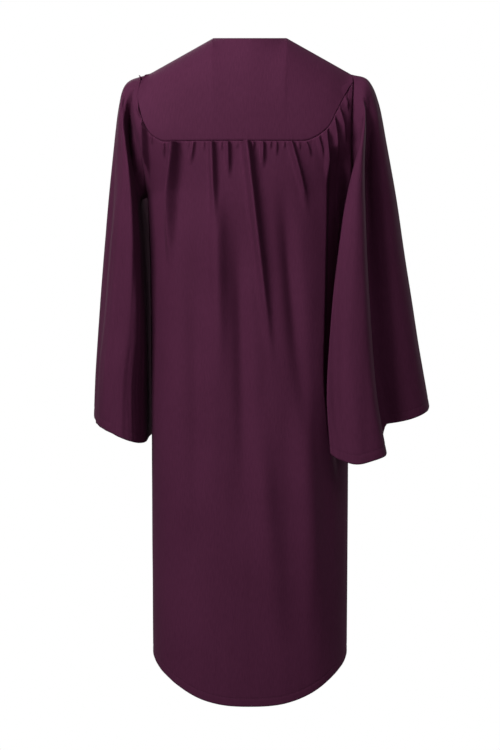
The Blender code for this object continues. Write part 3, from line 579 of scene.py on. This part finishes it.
def yoke_form(share, t):
    seam_drop = yoke_drop(share) - HALF_SEAM
    start, end = yoke_top(share), body(share, seam_drop, 1)
    down = unit(body(share, seam_drop + SLOPE_STEP, 1) - end)
    neckness = start[:, 1] / BACK_NECK_DEPTH
    leave = unit(points(0, 1 - 0.45 * neckness, -0.15 - 0.70 * neckness))
    length = np.linalg.norm(end - start, axis=1)[:, None]
    return beside_armhole(hermite(start, leave * length * 1.1, end, down * length * 0.9, t), share, 1)


YOKE_ROWS = ((0.0, 0.06, 0.86, 1.0), (0.0, 0.02, 0.92, 1.0))


def place_yoke(u, v):
    share, t = 2 * u - 1, np.interp(v, *YOKE_ROWS)
    base = yoke_form(share, t)
    normal = normals_of(yoke_form, share, t, 1)
    from_seam = yoke_drop(share) + base[:, 2]
    drag = slow_noise(base[:, 0] / 0.07, base[:, 2] / 0.05, 3.0) * 0.0009
    lift = rolled(from_seam) + puckers(share, from_seam, 0.008, 21.0) * 0.0006
    lift += drag * side_fade(share) * ease(t * 4) * ease((1 - t) * 4)
    metres = np.stack([share * QUARTER_LENGTH, base[:, 2]], axis=1)
    return base + normal * lift[:, None], metres


YOKE = cloth_sheet("yoke_cloth", 240, 72, place_yoke, GOWN_CLOTH)
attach(YOKE, "gown")
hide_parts("back_yoke")

# %% [markdown]
# The back panel is wider than the yoke's seam and is gathered into it. Its main folds come from the
# table, deep under the left shoulder and beside the right sleeve, where the turned body lets the cloth
# fall in. Below the hips it hangs almost smooth. The rows of its grid are close together at the seam
# and at the hem, where the small shapes are, and wide apart between them.

# %% Gathered back
BACK_ROWS = ((0.0, 0.12, 0.40, 0.89, 1.0), (0.0, 0.06, 0.5, 0.9871, 1.0))
HEM_STITCH = 0.015
FOLD_STRENGTH = 2.7


def back_surface(share, t):
    """From the yoke's seam at t 0, over the underarm's level at 0.5, to the hem at 1."""
    top = yoke_drop(share) + HALF_SEAM
    upper = mix(top, UNDERARM_DROP, t * 2)
    lower = mix(UNDERARM_DROP, hem_drop(share, HEM_BACK_DIP), t * 2 - 1)
    drop = np.where(t <= 0.5, upper, lower)
    return body(share, drop, 1), drop - top


def back_form(share, t):
    return back_surface(share, t)[0]


def hem_groove(distance):
    """The line of stitches that holds a hem draws the cloth in a little, and the turned edge is rolled."""
    return -0.0005 * np.exp(-((distance - HEM_STITCH) / 0.0016) ** 2) - 0.0006 * (1 - ease(distance / 0.002))


def hang(share, x, drop, seed):
    """Slow unevenness of hanging cloth, drawn out along its length."""
    wide = slow_noise(x / 0.055, drop / 0.30, seed) * 0.0016
    close = slow_noise(x / 0.020, drop / 0.11, seed + 5) * 0.0006
    return (wide + close) * side_fade(share)


# The cloth falls in deeply beside the right sleeve: where its edge is, and how deep, down the gown
RECESS = table(
    "drop edge depth",
    (0.225, 0.1500, 0.000),
    (0.265, 0.1455, 0.030),
    (0.330, 0.1450, 0.055),
    (0.510, 0.1415, 0.060),
    (0.600, 0.1395, 0.060),
    (0.660, 0.1385, 0.058),
    (0.720, 0.1430, 0.050),
    (0.770, 0.1480, 0.035),
    (0.810, 0.1560, 0.015),
    (0.850, 0.1620, 0.000),
)
RECESS_WALL = 0.007
RECESS_BACK = 0.030


def recess(at):
    """How far forward the cloth falls in beside the right sleeve."""
    drop, across = -at[:, 2], -at[:, 0]
    depth = np.where((drop > RECESS.drop[0]) & (drop < RECESS.drop[-1]), through(RECESS.drop, RECESS.depth, drop), 0)
    edge = through(RECESS.drop, RECESS.edge, drop)
    return depth * ease((across - edge) / RECESS_WALL) * ease((TIP_X - 0.004 - across) / RECESS_BACK)


def back_lift(share, t):
    base, below = back_surface(share, t)
    half_width = edge_of(share, -base[:, 2])
    folds = fold_depth(BACK_FOLDS, share, below, half_width) * FOLD_STRENGTH * side_fade(share)
    from_hem = hem_drop(share, HEM_BACK_DIP) + base[:, 2]
    lift = folds + rolled(below) + puckers(share, below, 0.016, 40.0) * 0.0016 * side_fade(share)
    return lift + hang(share, share * QUARTER_LENGTH, -base[:, 2], 7.0) * ease(below / 0.03) + hem_groove(from_hem)


def place_back(u, v):
    share, t = 2 * u - 1, np.interp(v, *BACK_ROWS)
    base = back_form(share, t)
    normal = normals_of(back_form, share, t, 1)
    metres = np.stack([share * QUARTER_LENGTH, base[:, 2]], axis=1)
    return base + normal * back_lift(share, t)[:, None] - points(0, recess(base), 0), metres


BACK = cloth_sheet("gathered_back", 350, 138, place_back, GOWN_CLOTH)
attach(BACK, "gown")
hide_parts("back_panel")

# %% [markdown]
# Each front runs from its shoulder seam and the V of the neck to the hem. Nothing in the photograph
# shows the front, so it is finished plainly: a few soft folds like those of the back, a turned edge
# along the V and the zip, and the same hem. The right front is the left one's mirror image with its
# folds a little closer to the zip and shallower, so the two don't look printed from one mould.

# %% Fronts
FRONT_ROWS = ((0.0, 0.05, 0.26, 0.90, 1.0), (0.0, 0.03, 0.5, 0.9876, 1.0))
EDGE_STITCH = 0.006


def front_top(share):
    """The V from the zip to the neck point, then the shoulder seam."""
    x = TIP_X * section(np.abs(share))[0]
    up = np.clip(x / NECK_HALF, 0, 1)
    forward = V_DEPTH * (1 - up ** CHEST_ROUND) ** (1 / CHEST_ROUND)
    z = np.where(up < 1, -V_DROP * (1 - up), -shoulder_drop(x))
    x = np.where(up < 1, mix(ZIP_HALF_GAP, NECK_HALF, up), x)
    return points(np.copysign(x, share), -HALF_SEAM - forward, z)


def zip_gap(drop):
    return mix(ZIP_HALF_GAP, HALF_SEAM, ease((drop - ZIP_END_DROP) / (CLOSED_DROP - ZIP_END_DROP)))


def front_form(share, t):
    """From the V and the shoulder seam at t 0, over the chest at 0.5, to the hem at 1."""
    drop = mix(CHEST_DROP, hem_drop(share, HEM_FRONT_DIP), t * 2 - 1)
    below_chest = body(share, np.maximum(drop, CHEST_DROP), -1, zip_gap(drop))
    start, end = front_top(share), body(share, CHEST_DROP, -1, ZIP_HALF_GAP)
    down = unit(body(share, CHEST_DROP + SLOPE_STEP, -1, ZIP_HALF_GAP) - end)
    steep = 0.75 * ease(1 - np.abs(start[:, 0]) / TIP_X) + 0.25 * np.clip(-start[:, 1] / V_DEPTH, 0, 1)
    leave = unit(points(0, -1 + 0.85 * steep, -0.2 - 0.8 * steep))
    length = np.linalg.norm(end - start, axis=1)[:, None]
    over_chest = hermite(start, leave * length, end, down * length * 0.9, t * 2)
    return np.where((t > 0.5)[:, None], below_chest, beside_armhole(over_chest, share, -1))


def front_lift(share, t, mirror):
    base = front_form(share, t)
    below = np.maximum(-base[:, 2] - shoulder_drop(np.maximum(np.abs(base[:, 0]), NECK_HALF)), 0)
    half_width = edge_of(share, -base[:, 2])
    shift, strength = (0.0, 1.0) if mirror > 0 else (RIGHT_FRONT_SHIFT, RIGHT_FRONT_DEPTH)
    folds = fold_depth(FRONT_FOLDS, np.abs(share), below, half_width, shift) * strength
    across = np.abs(share) * QUARTER_LENGTH
    edge = -0.0006 * np.exp(-((across - EDGE_STITCH) / 0.0014) ** 2) - 0.0006 * (1 - ease(across / 0.002))
    away = hang(share, share * QUARTER_LENGTH, -base[:, 2], 60.0 + mirror) * ease(across / 0.02)
    from_hem = hem_drop(share, HEM_FRONT_DIP) + base[:, 2]
    on_shoulder = np.where(np.abs(front_top(share)[:, 0]) > NECK_HALF, rolled(below), -0.0005 * (1 - ease(t / 0.01)))
    return folds * side_fade(share) * ease(t * 6) + away * ease(t * 6) + edge + hem_groove(from_hem) + on_shoulder


def front_placer(mirror):
    def place(u, v):
        share, t = u * mirror, np.interp(v, *FRONT_ROWS)
        base = front_form(share, t)
        low = -1.0 if mirror < 0 else 0.0
        normal = normals_of(front_form, np.clip(share, -1, -SLOPE_STEP) if mirror < 0 else share, t, -1, low)
        metres = np.stack([share * QUARTER_LENGTH, base[:, 2]], axis=1)
        return base + normal * front_lift(share, t, mirror)[:, None], metres

    return place


FRONTS = {}
for side, mirror in (("left", 1), ("right", -1)):
    FRONTS[side] = cloth_sheet(side + "_front", 112, 150, front_placer(mirror), GOWN_CLOTH)
    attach(FRONTS[side], "gown")
    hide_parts("front_" + side)

# %% [markdown]
# A bell sleeve is a tube that starts at the armhole and widens to the cuff. It is given as rings, each
# with an outer and an inner side, a back and a front end, and how far each end bends in beside the
# body. The ring at the armhole is the armhole itself. The right sleeve hangs open behind the body, so
# a deep fold runs down it between a near lobe and the outer edge.

# %% Sleeves
SLEEVE_LEFT = table(
    "outer_x outer_drop inner_x inner_drop back front back_bend front_bend back_low",
    (0.2400, 0.0870, 0.2120, 0.3150, 0.062, -0.072, -0.008, -0.004, 0.000),
    (0.2550, 0.1320, 0.2150, 0.3350, 0.088, -0.090, 0.003, 0.014, 0.002),
    (0.2640, 0.2060, 0.2140, 0.3640, 0.100, -0.110, 0.012, 0.036, 0.004),
    (0.2740, 0.3000, 0.2105, 0.4180, 0.106, -0.126, 0.018, 0.052, 0.006),
    (0.2850, 0.4080, 0.2060, 0.4930, 0.105, -0.142, 0.018, 0.066, 0.008),
    (0.2950, 0.5340, 0.2015, 0.5920, 0.101, -0.154, 0.014, 0.072, 0.010),
    (0.3020, 0.6350, 0.1995, 0.6840, 0.098, -0.162, 0.005, 0.080, 0.012),
    (0.3075, 0.7365, 0.1985, 0.7800, 0.095, -0.168, 0.008, 0.084, 0.018),
)
SLEEVE_RIGHT = table(
    "outer_x outer_drop inner_x inner_drop back front back_bend front_bend back_low",
    (0.2300, 0.0850, 0.2080, 0.3160, 0.088, -0.072, 0.010, 0.000, 0.000),
    (0.2500, 0.1300, 0.2150, 0.3360, 0.108, -0.086, 0.030, 0.004, 0.004),
    (0.2640, 0.2060, 0.2155, 0.3680, 0.126, -0.098, 0.052, 0.010, 0.010),
    (0.2800, 0.3000, 0.2120, 0.4200, 0.144, -0.108, 0.072, 0.016, 0.018),
    (0.2960, 0.4080, 0.2070, 0.4950, 0.160, -0.116, 0.088, 0.020, 0.026),
    (0.3140, 0.5200, 0.2030, 0.5950, 0.172, -0.122, 0.102, 0.022, 0.034),
    (0.3300, 0.6200, 0.2000, 0.6880, 0.180, -0.128, 0.110, 0.024, 0.040),
    (0.3470, 0.7150, 0.1990, 0.7800, 0.186, -0.134, 0.108, 0.026, 0.046),
)
SLEEVE_SQUARENESS = 2.2
LAST_RING = len(SLEEVE_LEFT.back)
# By direction around the sleeve in degrees: 0 outer side, 90 back, 180 inner side, 270 front
# A fold grows over "rise" rings below its start and fades above its end; its two sides may differ in width
LEFT_SLEEVE_FOLDS = table(
    "turn_top turn_low start rise end depth outer_width inner_width",
    (35, 22, 1.5, 4.0, 9.0, -0.010, 11, 11),
    (70, 74, 2.5, 3.5, 9.0, -0.007, 12, 12),
    (300, 306, 3.2, 3.0, 9.0, -0.009, 15, 15),
    (255, 250, 3.5, 3.0, 9.0, 0.007, 13, 13),
)
RIGHT_SLEEVE_FOLDS = table(
    "turn_top turn_low start rise end depth outer_width inner_width",
    (54, 45, 0.60, 2.5, 11.0, -0.066, 17, 5),
    (62, 53, 1.0, 2.5, 11.0, 0.022, 5, 26),
    (88, 86, 3.0, 3.0, 9.0, -0.006, 12, 12),
    (312, 304, 2.0, 4.0, 9.0, -0.012, 13, 13),
    (262, 256, 3.5, 3.0, 9.0, 0.006, 13, 13),
)
FADE_RINGS = 2.0
# Behind the left shoulder the sleeve falls in at once: from which turn on, and how deep, ring by ring
LEFT_GAP = table(
    "ring turn depth",
    (0.0, 52, 0.000),
    (0.2, 56, 0.016),
    (1.0, 76, 0.036),
    (1.6, 98, 0.040),
    (2.5, 106, 0.038),
    (4.0, 108, 0.026),
    (5.5, 112, 0.000),
)
GAP_EDGE = 7.0
GAP_REACH = 50.0
# The near lobe of the right sleeve hangs lower at the cuff than the ring it belongs to
LOBE_LOW = 0.040
SLEEVE_FORMS = {1: (SLEEVE_LEFT, LEFT_SLEEVE_FOLDS), -1: (SLEEVE_RIGHT, RIGHT_SLEEVE_FOLDS)}


def armhole_ring(angle, mirror):
    """The armhole's own seam, as on the left."""
    side = np.where(np.sin(angle) >= -1e-9, 1.0, -1.0)
    drop = ARMHOLE_MIDDLE - ARMHOLE_HALF * np.cos(angle)
    deep = np.where(side > 0, ARMHOLE_BACK, ARMHOLE_FRONT) * np.abs(np.sin(angle))
    return points(armhole_x(drop, mirror) + ARMHOLE_SEAM, side * deep, -drop)


def sleeve_ring(rows, number, angle):
    """One ring, a rounded square between its four ends, with its ends bent in."""
    row = [column[number - 1] for column in rows]
    outer_x, outer_drop, inner_x, inner_drop, back, front, back_bend, front_bend, back_low = row
    power = 2 / SLEEVE_SQUARENESS
    cosine = np.copysign(np.abs(np.cos(angle)) ** power, np.cos(angle))
    sine = np.copysign(np.abs(np.sin(angle)) ** power, np.sin(angle))
    bend = np.where(sine > 0, back_bend, front_bend) * sine * sine
    x = (outer_x + inner_x) / 2 + (outer_x - inner_x) / 2 * cosine - bend
    y = (back + front) / 2 + (back - front) / 2 * sine
    z = -(outer_drop + inner_drop) / 2 - (outer_drop - inner_drop) / 2 * cosine - back_low * sine
    return points(x, y, z)


def plain_sleeve(rows, angle, t, mirror):
    rings = [armhole_ring(angle, mirror)]
    rings += [sleeve_ring(rows, number, angle) for number in range(1, LAST_RING + 1)]
    return np.einsum("nr,rnk->nk", curve_weights(np.arange(LAST_RING + 1.0), t), np.array(rings))


def sleeve_form(turn, t, mirror):
    """The sleeve with its folds: turn from 0 to 1 around it, t from the armhole to the last ring."""
    rows, folds = SLEEVE_FORMS[mirror]
    angle = (turn % 1.0) * 2 * math.pi
    place = plain_sleeve(rows, angle, t, mirror)
    middle = (place + plain_sleeve(rows, (angle + math.pi) % (2 * math.pi), t, mirror)) / 2
    depth = np.zeros(len(place))
    for turn_top, turn_low, start, rise, end, deep, outer_width, inner_width in zip(*folds):
        reach = np.clip((t - start) / (LAST_RING - start), 0, 1)
        away = (np.degrees(angle) - mix(turn_top, turn_low, reach) + 180) % 360 - 180
        strength = ease((t - start) / rise) * ease((end - t) / FADE_RINGS)
        depth += deep * strength * np.exp(-(away / np.where(away < 0, outer_width, inner_width)) ** 2)
    turned = np.degrees(angle)
    if mirror > 0:
        away = turned - through(LEFT_GAP.ring, LEFT_GAP.turn, t)
        width = np.where(away < 0, GAP_EDGE, GAP_REACH)
        gap = through(LEFT_GAP.ring, LEFT_GAP.depth, t) * (t < LEFT_GAP.ring[-1])
        depth -= gap * np.exp(-(away / width) ** 2) * ease((200 - turned) / 30)
    place = place + unit(place - middle) * depth[:, None]
    if mirror < 0:
        low = LOBE_LOW * ease((turned - 40) / 9) * ease((112 - turned) / 45) * ease((t - 5) / 3)
        place[:, 2] -= low
    return place * (mirror, 1, 1)


def sleeve_normal(turn, t, mirror):
    around = sleeve_form(turn + SLOPE_STEP, t, mirror) - sleeve_form(turn - SLOPE_STEP, t, mirror)
    low, high = np.maximum(t - 0.02, 0), np.minimum(t + 0.02, LAST_RING)
    return unit(np.cross(around, sleeve_form(turn, low, mirror) - sleeve_form(turn, high, mirror))) * mirror


SLEEVE_ROWS = ((0.0, 0.08, 0.30, 0.91, 1.0), (0.0, 0.12, 1.6, 7.76, 8.0))
RING_PITCH = 0.092


def sleeve_placer(mirror):
    def place(u, v):
        t = np.interp(v, *SLEEVE_ROWS)
        base, normal = sleeve_form(u, t, mirror), sleeve_normal(u, t, mirror)
        turn = u * 2 * math.pi
        around_x, around_y = 4.0 * np.cos(turn), 4.0 * np.sin(turn)
        wide = np.array([noise.noise(Vector(at)) for at in zip(around_x, around_y, t * 0.35 + 11 * mirror)])
        close = np.array([noise.noise(Vector(at)) for at in zip(around_x * 2.6, around_y * 2.6, t * 0.9 - 9)])
        from_seam, from_hem = t * RING_PITCH, (LAST_RING - t) * RING_PITCH
        lift = (wide * 0.0022 + close * 0.0009) * ease(from_seam / 0.05) + rolled(from_seam) + hem_groove(from_hem)
        metres = np.stack([u * 0.75, -t * RING_PITCH], axis=1)
        return base + normal * lift[:, None], metres

    return place


SLEEVES = {}
for side, mirror in (("left", 1), ("right", -1)):
    SLEEVES[side] = cloth_sheet(side + "_sleeve", 240, 130, sleeve_placer(mirror), GOWN_CLOTH, closed=True)
    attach(SLEEVES[side], "gown")
    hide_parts("sleeve_" + side)

# %% [markdown]
# The zip closes the front from the V down to the thighs. Its two tapes are sewn behind the fronts'
# edges, so a narrow strip of each shows between them, and the chain of teeth lies on that strip. A
# tooth is under two millimetres across and there are over a thousand, so each is a rounded bead of few
# faces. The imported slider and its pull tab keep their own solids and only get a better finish.

# %% Zip tapes
TAPE_GAP = 0.0028
TAPE_INNER = 0.0002
TAPE_WIDTH = 0.013


def front_level(share, drop):
    """The front's t at a drop, found on a fine table, because the upper part is a free curve."""
    steps = np.linspace(0, 1, 400)
    drops = -front_form(np.full(400, share), steps)[:, 2]
    return np.interp(drop, np.maximum.accumulate(drops), steps)


def tape_placer(mirror):
    tiny = SLOPE_STEP * mirror

    def place(u, v):
        drop = mix(V_DROP + 0.001, ZIP_END_DROP, v)
        t = front_level(tiny, drop)
        outer_share = float(share_of(TAPE_WIDTH / TIP_X))
        share = np.clip((u - 0.4) / 0.6, 0, 1) * outer_share
        on_front = front_form(np.maximum(share, SLOPE_STEP) * mirror, t)
        away = np.maximum(share, 2 * SLOPE_STEP) * mirror
        normal = normals_of(front_form, away, np.maximum(t, 0.02), -1, -1.0)
        at = on_front - normal * TAPE_GAP
        inner = np.clip(u / 0.4, 0, 1)
        at[:, 0] = np.where(u < 0.4, mirror * mix(TAPE_INNER, np.abs(at[:, 0]), inner), at[:, 0])
        metres = np.stack([u * TAPE_WIDTH, -drop], axis=1)
        return at, metres

    return place


TAPES = {}
for side, mirror in (("left", 1), ("right", -1)):
    TAPES[side] = cloth_sheet(side + "_zip_tape", 10, 220, tape_placer(mirror), TAPE_CLOTH, thickness=0.0008)
    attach(TAPES[side], "gown")
    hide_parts("zip_tape_" + side)

# %% Beads along a line


def spaced(line, pitch):
    """Points along a line at an even pitch, and the line's directions there."""
    lengths = np.concatenate([[0], np.cumsum(np.linalg.norm(np.diff(line, axis=0), axis=1))])
    at = np.arange(pitch / 2, lengths[-1], pitch)
    place = np.stack([np.interp(at, lengths, line[:, k]) for k in range(3)], axis=1)
    ahead = np.stack([np.interp(at + pitch / 4, lengths, line[:, k]) for k in range(3)], axis=1)
    return place, unit(ahead - place + 1e-12)


def add_beads(bm, places, along, outward, size):
    """Small rounded beads, each turned to its line; size is along, across and outwards."""
    across = unit(np.cross(outward, along))
    outward = np.cross(along, across)
    for place, first, second, third in zip(places, along, across, outward):
        axes = [Vector(axis) * part for axis, part in zip((first, second, third), size)]
        turn = Matrix((axes[0], axes[1], axes[2])).transposed().to_4x4()
        turn.translation = Vector(place)
        bmesh.ops.create_icosphere(bm, subdivisions=1, radius=1, matrix=turn)


def bead_piece(name, bm, material):
    for face in bm.faces:
        face.smooth = True
    mesh = bpy.data.meshes.new(name)
    bm.to_mesh(mesh)
    bm.free()
    mesh.materials.append(material)
    piece = bpy.data.objects.new(name, mesh)
    bpy.context.scene.collection.objects.link(piece)
    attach(piece, "gown")
    print(name, len(mesh.polygons), "faces")
    return piece


# %% Zip teeth
TOOTH_PITCH = 0.0015
TOOTH_SIDE = 0.0007
FIRST_TOOTH_DROP = 0.147
drops = np.linspace(FIRST_TOOTH_DROP, ZIP_END_DROP - 0.004, 500)
levels = front_level(SLOPE_STEP, drops)
edge_shares = np.full(500, SLOPE_STEP)
chain = front_form(edge_shares, levels) - normals_of(front_form, edge_shares * 2, levels, -1) * (TAPE_GAP - 0.0004)
chain[:, 0] = 0
place, along = spaced(chain, TOOTH_PITCH)
place[:, 0] = np.where(np.arange(len(place)) % 2 == 0, TOOTH_SIDE, -TOOTH_SIDE)
outward = unit(np.stack([np.zeros(len(along)), along[:, 2], -along[:, 1]], axis=1))
bm = bmesh.new()
add_beads(bm, place, along, outward, (0.00052, 0.0013, 0.0006))
TEETH = bead_piece("zip_teeth", bm, ENAMEL)

# %% [markdown]
# Thread shows where an edge is turned and sewn: round the hem and the cuffs, and down the zip. Each
# stitch is a bead of thread half sunk in the groove that the cloth already has there.

# %% Hem and edge stitches
STITCH_PITCH = 0.0034
STITCH_SIZE = (0.0012, 0.00032, 0.00030)


def stitch_line(bm, place, normal, sink=0.00005):
    """A row of stitches along points on the cloth."""
    at, along = spaced(place, STITCH_PITCH)
    lengths = np.concatenate([[0], np.cumsum(np.linalg.norm(np.diff(place, axis=0), axis=1))])
    where = np.arange(STITCH_PITCH / 2, lengths[-1], STITCH_PITCH)
    out = unit(np.stack([np.interp(where, lengths, normal[:, k]) for k in range(3)], axis=1))
    add_beads(bm, at - out * sink, along, out, STITCH_SIZE)


bm = bmesh.new()
shares = np.linspace(-0.975, 0.975, 700)
hem_t = 1 - HEM_STITCH / (2 * (hem_drop(shares, HEM_BACK_DIP) - UNDERARM_DROP))
normal = normals_of(back_form, shares, hem_t, 1)
stitch_line(bm, back_form(shares, hem_t) + normal * back_lift(shares, hem_t)[:, None], normal)
for mirror in (1, -1):
    shares = np.linspace(0.03, 0.975, 350) * mirror
    hem_t = 1 - HEM_STITCH / (2 * (hem_drop(shares, HEM_FRONT_DIP) - CHEST_DROP))
    normal = normals_of(front_form, shares, hem_t, -1)
    stitch_line(bm, front_form(shares, hem_t) + normal * front_lift(shares, hem_t, mirror)[:, None], normal)
    drops = np.linspace(V_DROP + 0.012, ZIP_END_DROP, 500)
    beside_zip = np.full(500, EDGE_STITCH / QUARTER_LENGTH * mirror)
    levels = front_level(beside_zip[0], drops)
    normal = normals_of(front_form, beside_zip, levels, -1)
    stitch_line(bm, front_form(beside_zip, levels) + normal * front_lift(beside_zip, levels, mirror)[:, None], normal)
    turns, cuff_t = np.linspace(0, 1, 400), np.full(400, LAST_RING - HEM_STITCH / RING_PITCH)
    placed, _ = sleeve_placer(mirror)(turns, np.interp(cuff_t, SLEEVE_ROWS[1], SLEEVE_ROWS[0]))
    stitch_line(bm, placed, sleeve_normal(turns, cuff_t, mirror))
STITCHES = bead_piece("edge_stitches", bm, THREAD)

# %% [markdown]
# Each sheet's cloth area is printed. The back panel is cut as wide as its hem and
# gathered at the top. The sleeve is cut as a wedge, narrow at the armhole and wide at the cuff.


def area_of(piece):
    return sum(face.area for face in piece.data.polygons)


for piece in (YOKE, BACK, *FRONTS.values(), *SLEEVES.values(), *TAPES.values()):
    print(piece.name, "cloth area", round(area_of(piece), 4), "square metres")

# %% [markdown]
# The photograph is a cut-out on white, taken level with the middle of the gown from behind it. The
# light comes from above on the wearer's left side, close to the camera, and weakens towards the hem.
# The white is what the camera sees of the world and of the floor; the cloth gets much less of it, or
# its folds would be washed out.

# %% Floor and world
FLOOR_Z = -1.45


def camera_only(tree, seen, felt):
    """Picks one shader for what the camera sees and another for what lights the cloth."""
    rays = add_node(tree, "ShaderNodeLightPath")
    choose = add_node(tree, "ShaderNodeMixShader")
    tree.links.new(rays.outputs["Is Camera Ray"], choose.inputs["Fac"])
    tree.links.new(felt.outputs[0], choose.inputs[1])
    tree.links.new(seen.outputs[0], choose.inputs[2])
    return choose


bm = bmesh.new()
bmesh.ops.create_grid(bm, x_segments=2, y_segments=2, size=30)
bmesh.ops.translate(bm, vec=(0, 0, FLOOR_Z), verts=bm.verts[:])
floor_mesh = bpy.data.meshes.new("floor")
bm.to_mesh(floor_mesh)
bm.free()
floor = bpy.data.objects.new("floor", floor_mesh)
bpy.context.scene.collection.objects.link(floor)
paper = bpy.data.materials.new("pale_paper")
paper.use_nodes = True
tree = paper.node_tree
surface = tree.nodes["Principled BSDF"]
surface.inputs["Base Color"].default_value = (0.35, 0.35, 0.35, 1)
surface.inputs["Roughness"].default_value = 0.9
bright = add_node(tree, "ShaderNodeEmission", Color=(1, 1, 1, 1), Strength=1.0)
chosen = camera_only(tree, bright, surface)
tree.links.new(chosen.outputs[0], tree.nodes["Material Output"].inputs["Surface"])
floor_mesh.materials.append(paper)

world = bpy.data.worlds.new("pale_room")
bpy.context.scene.world = world
world.use_nodes = True
tree = world.node_tree
seen = tree.nodes["Background"]
seen.inputs["Color"].default_value = (1, 1, 1, 1)
seen.inputs["Strength"].default_value = 1.0
felt = add_node(tree, "ShaderNodeBackground", Color=(1, 1, 1, 1), Strength=0.13)
chosen = camera_only(tree, seen, felt)
tree.links.new(chosen.outputs[0], tree.nodes["World Output"].inputs["Surface"])
bpy.context.scene.view_settings.view_transform = "Standard"

# %% Lights
LOOK_AT = Vector((0, 0, -0.50))


def area_light(name, place, size, watts, target):
    data = bpy.data.lights.new(name, "AREA")
    data.shape = "SQUARE"
    data.size = size
    data.energy = watts
    lamp = bpy.data.objects.new(name, data)
    lamp.location = place
    lamp.rotation_euler = (Vector(target) - Vector(place)).to_track_quat("-Z", "Y").to_euler()
    bpy.context.scene.collection.objects.link(lamp)
    return lamp


area_light("key_light", (1.25, 1.60, 1.20), 0.9, 73, LOOK_AT)
area_light("fill_light", (-0.5, 2.8, 0.7), 1.0, 14, (0, 0, -0.4))
area_light("front_light", (1.2, -2.9, 1.2), 2.0, 70, (0, 0, -0.5))
area_light("side_light", (-2.4, -1.9, 0.5), 1.5, 28, (0, 0, -0.5))

# %% Camera
CAMERA_DISTANCE = 3.2
CAMERA_Z = -0.657
PICTURE_HEIGHT = 750 * 0.00195
camera_data = bpy.data.cameras.new("camera")
camera_data.sensor_fit = "VERTICAL"
camera_data.sensor_height = 36
camera_data.lens = 36 * CAMERA_DISTANCE / PICTURE_HEIGHT
camera = bpy.data.objects.new("camera", camera_data)
camera.location = (0, CAMERA_DISTANCE, CAMERA_Z)
camera.rotation_euler = (math.pi / 2, 0, math.pi)
bpy.context.scene.collection.objects.link(camera)
bpy.context.scene.camera = camera
print("lens:", round(camera_data.lens, 2), "mm")
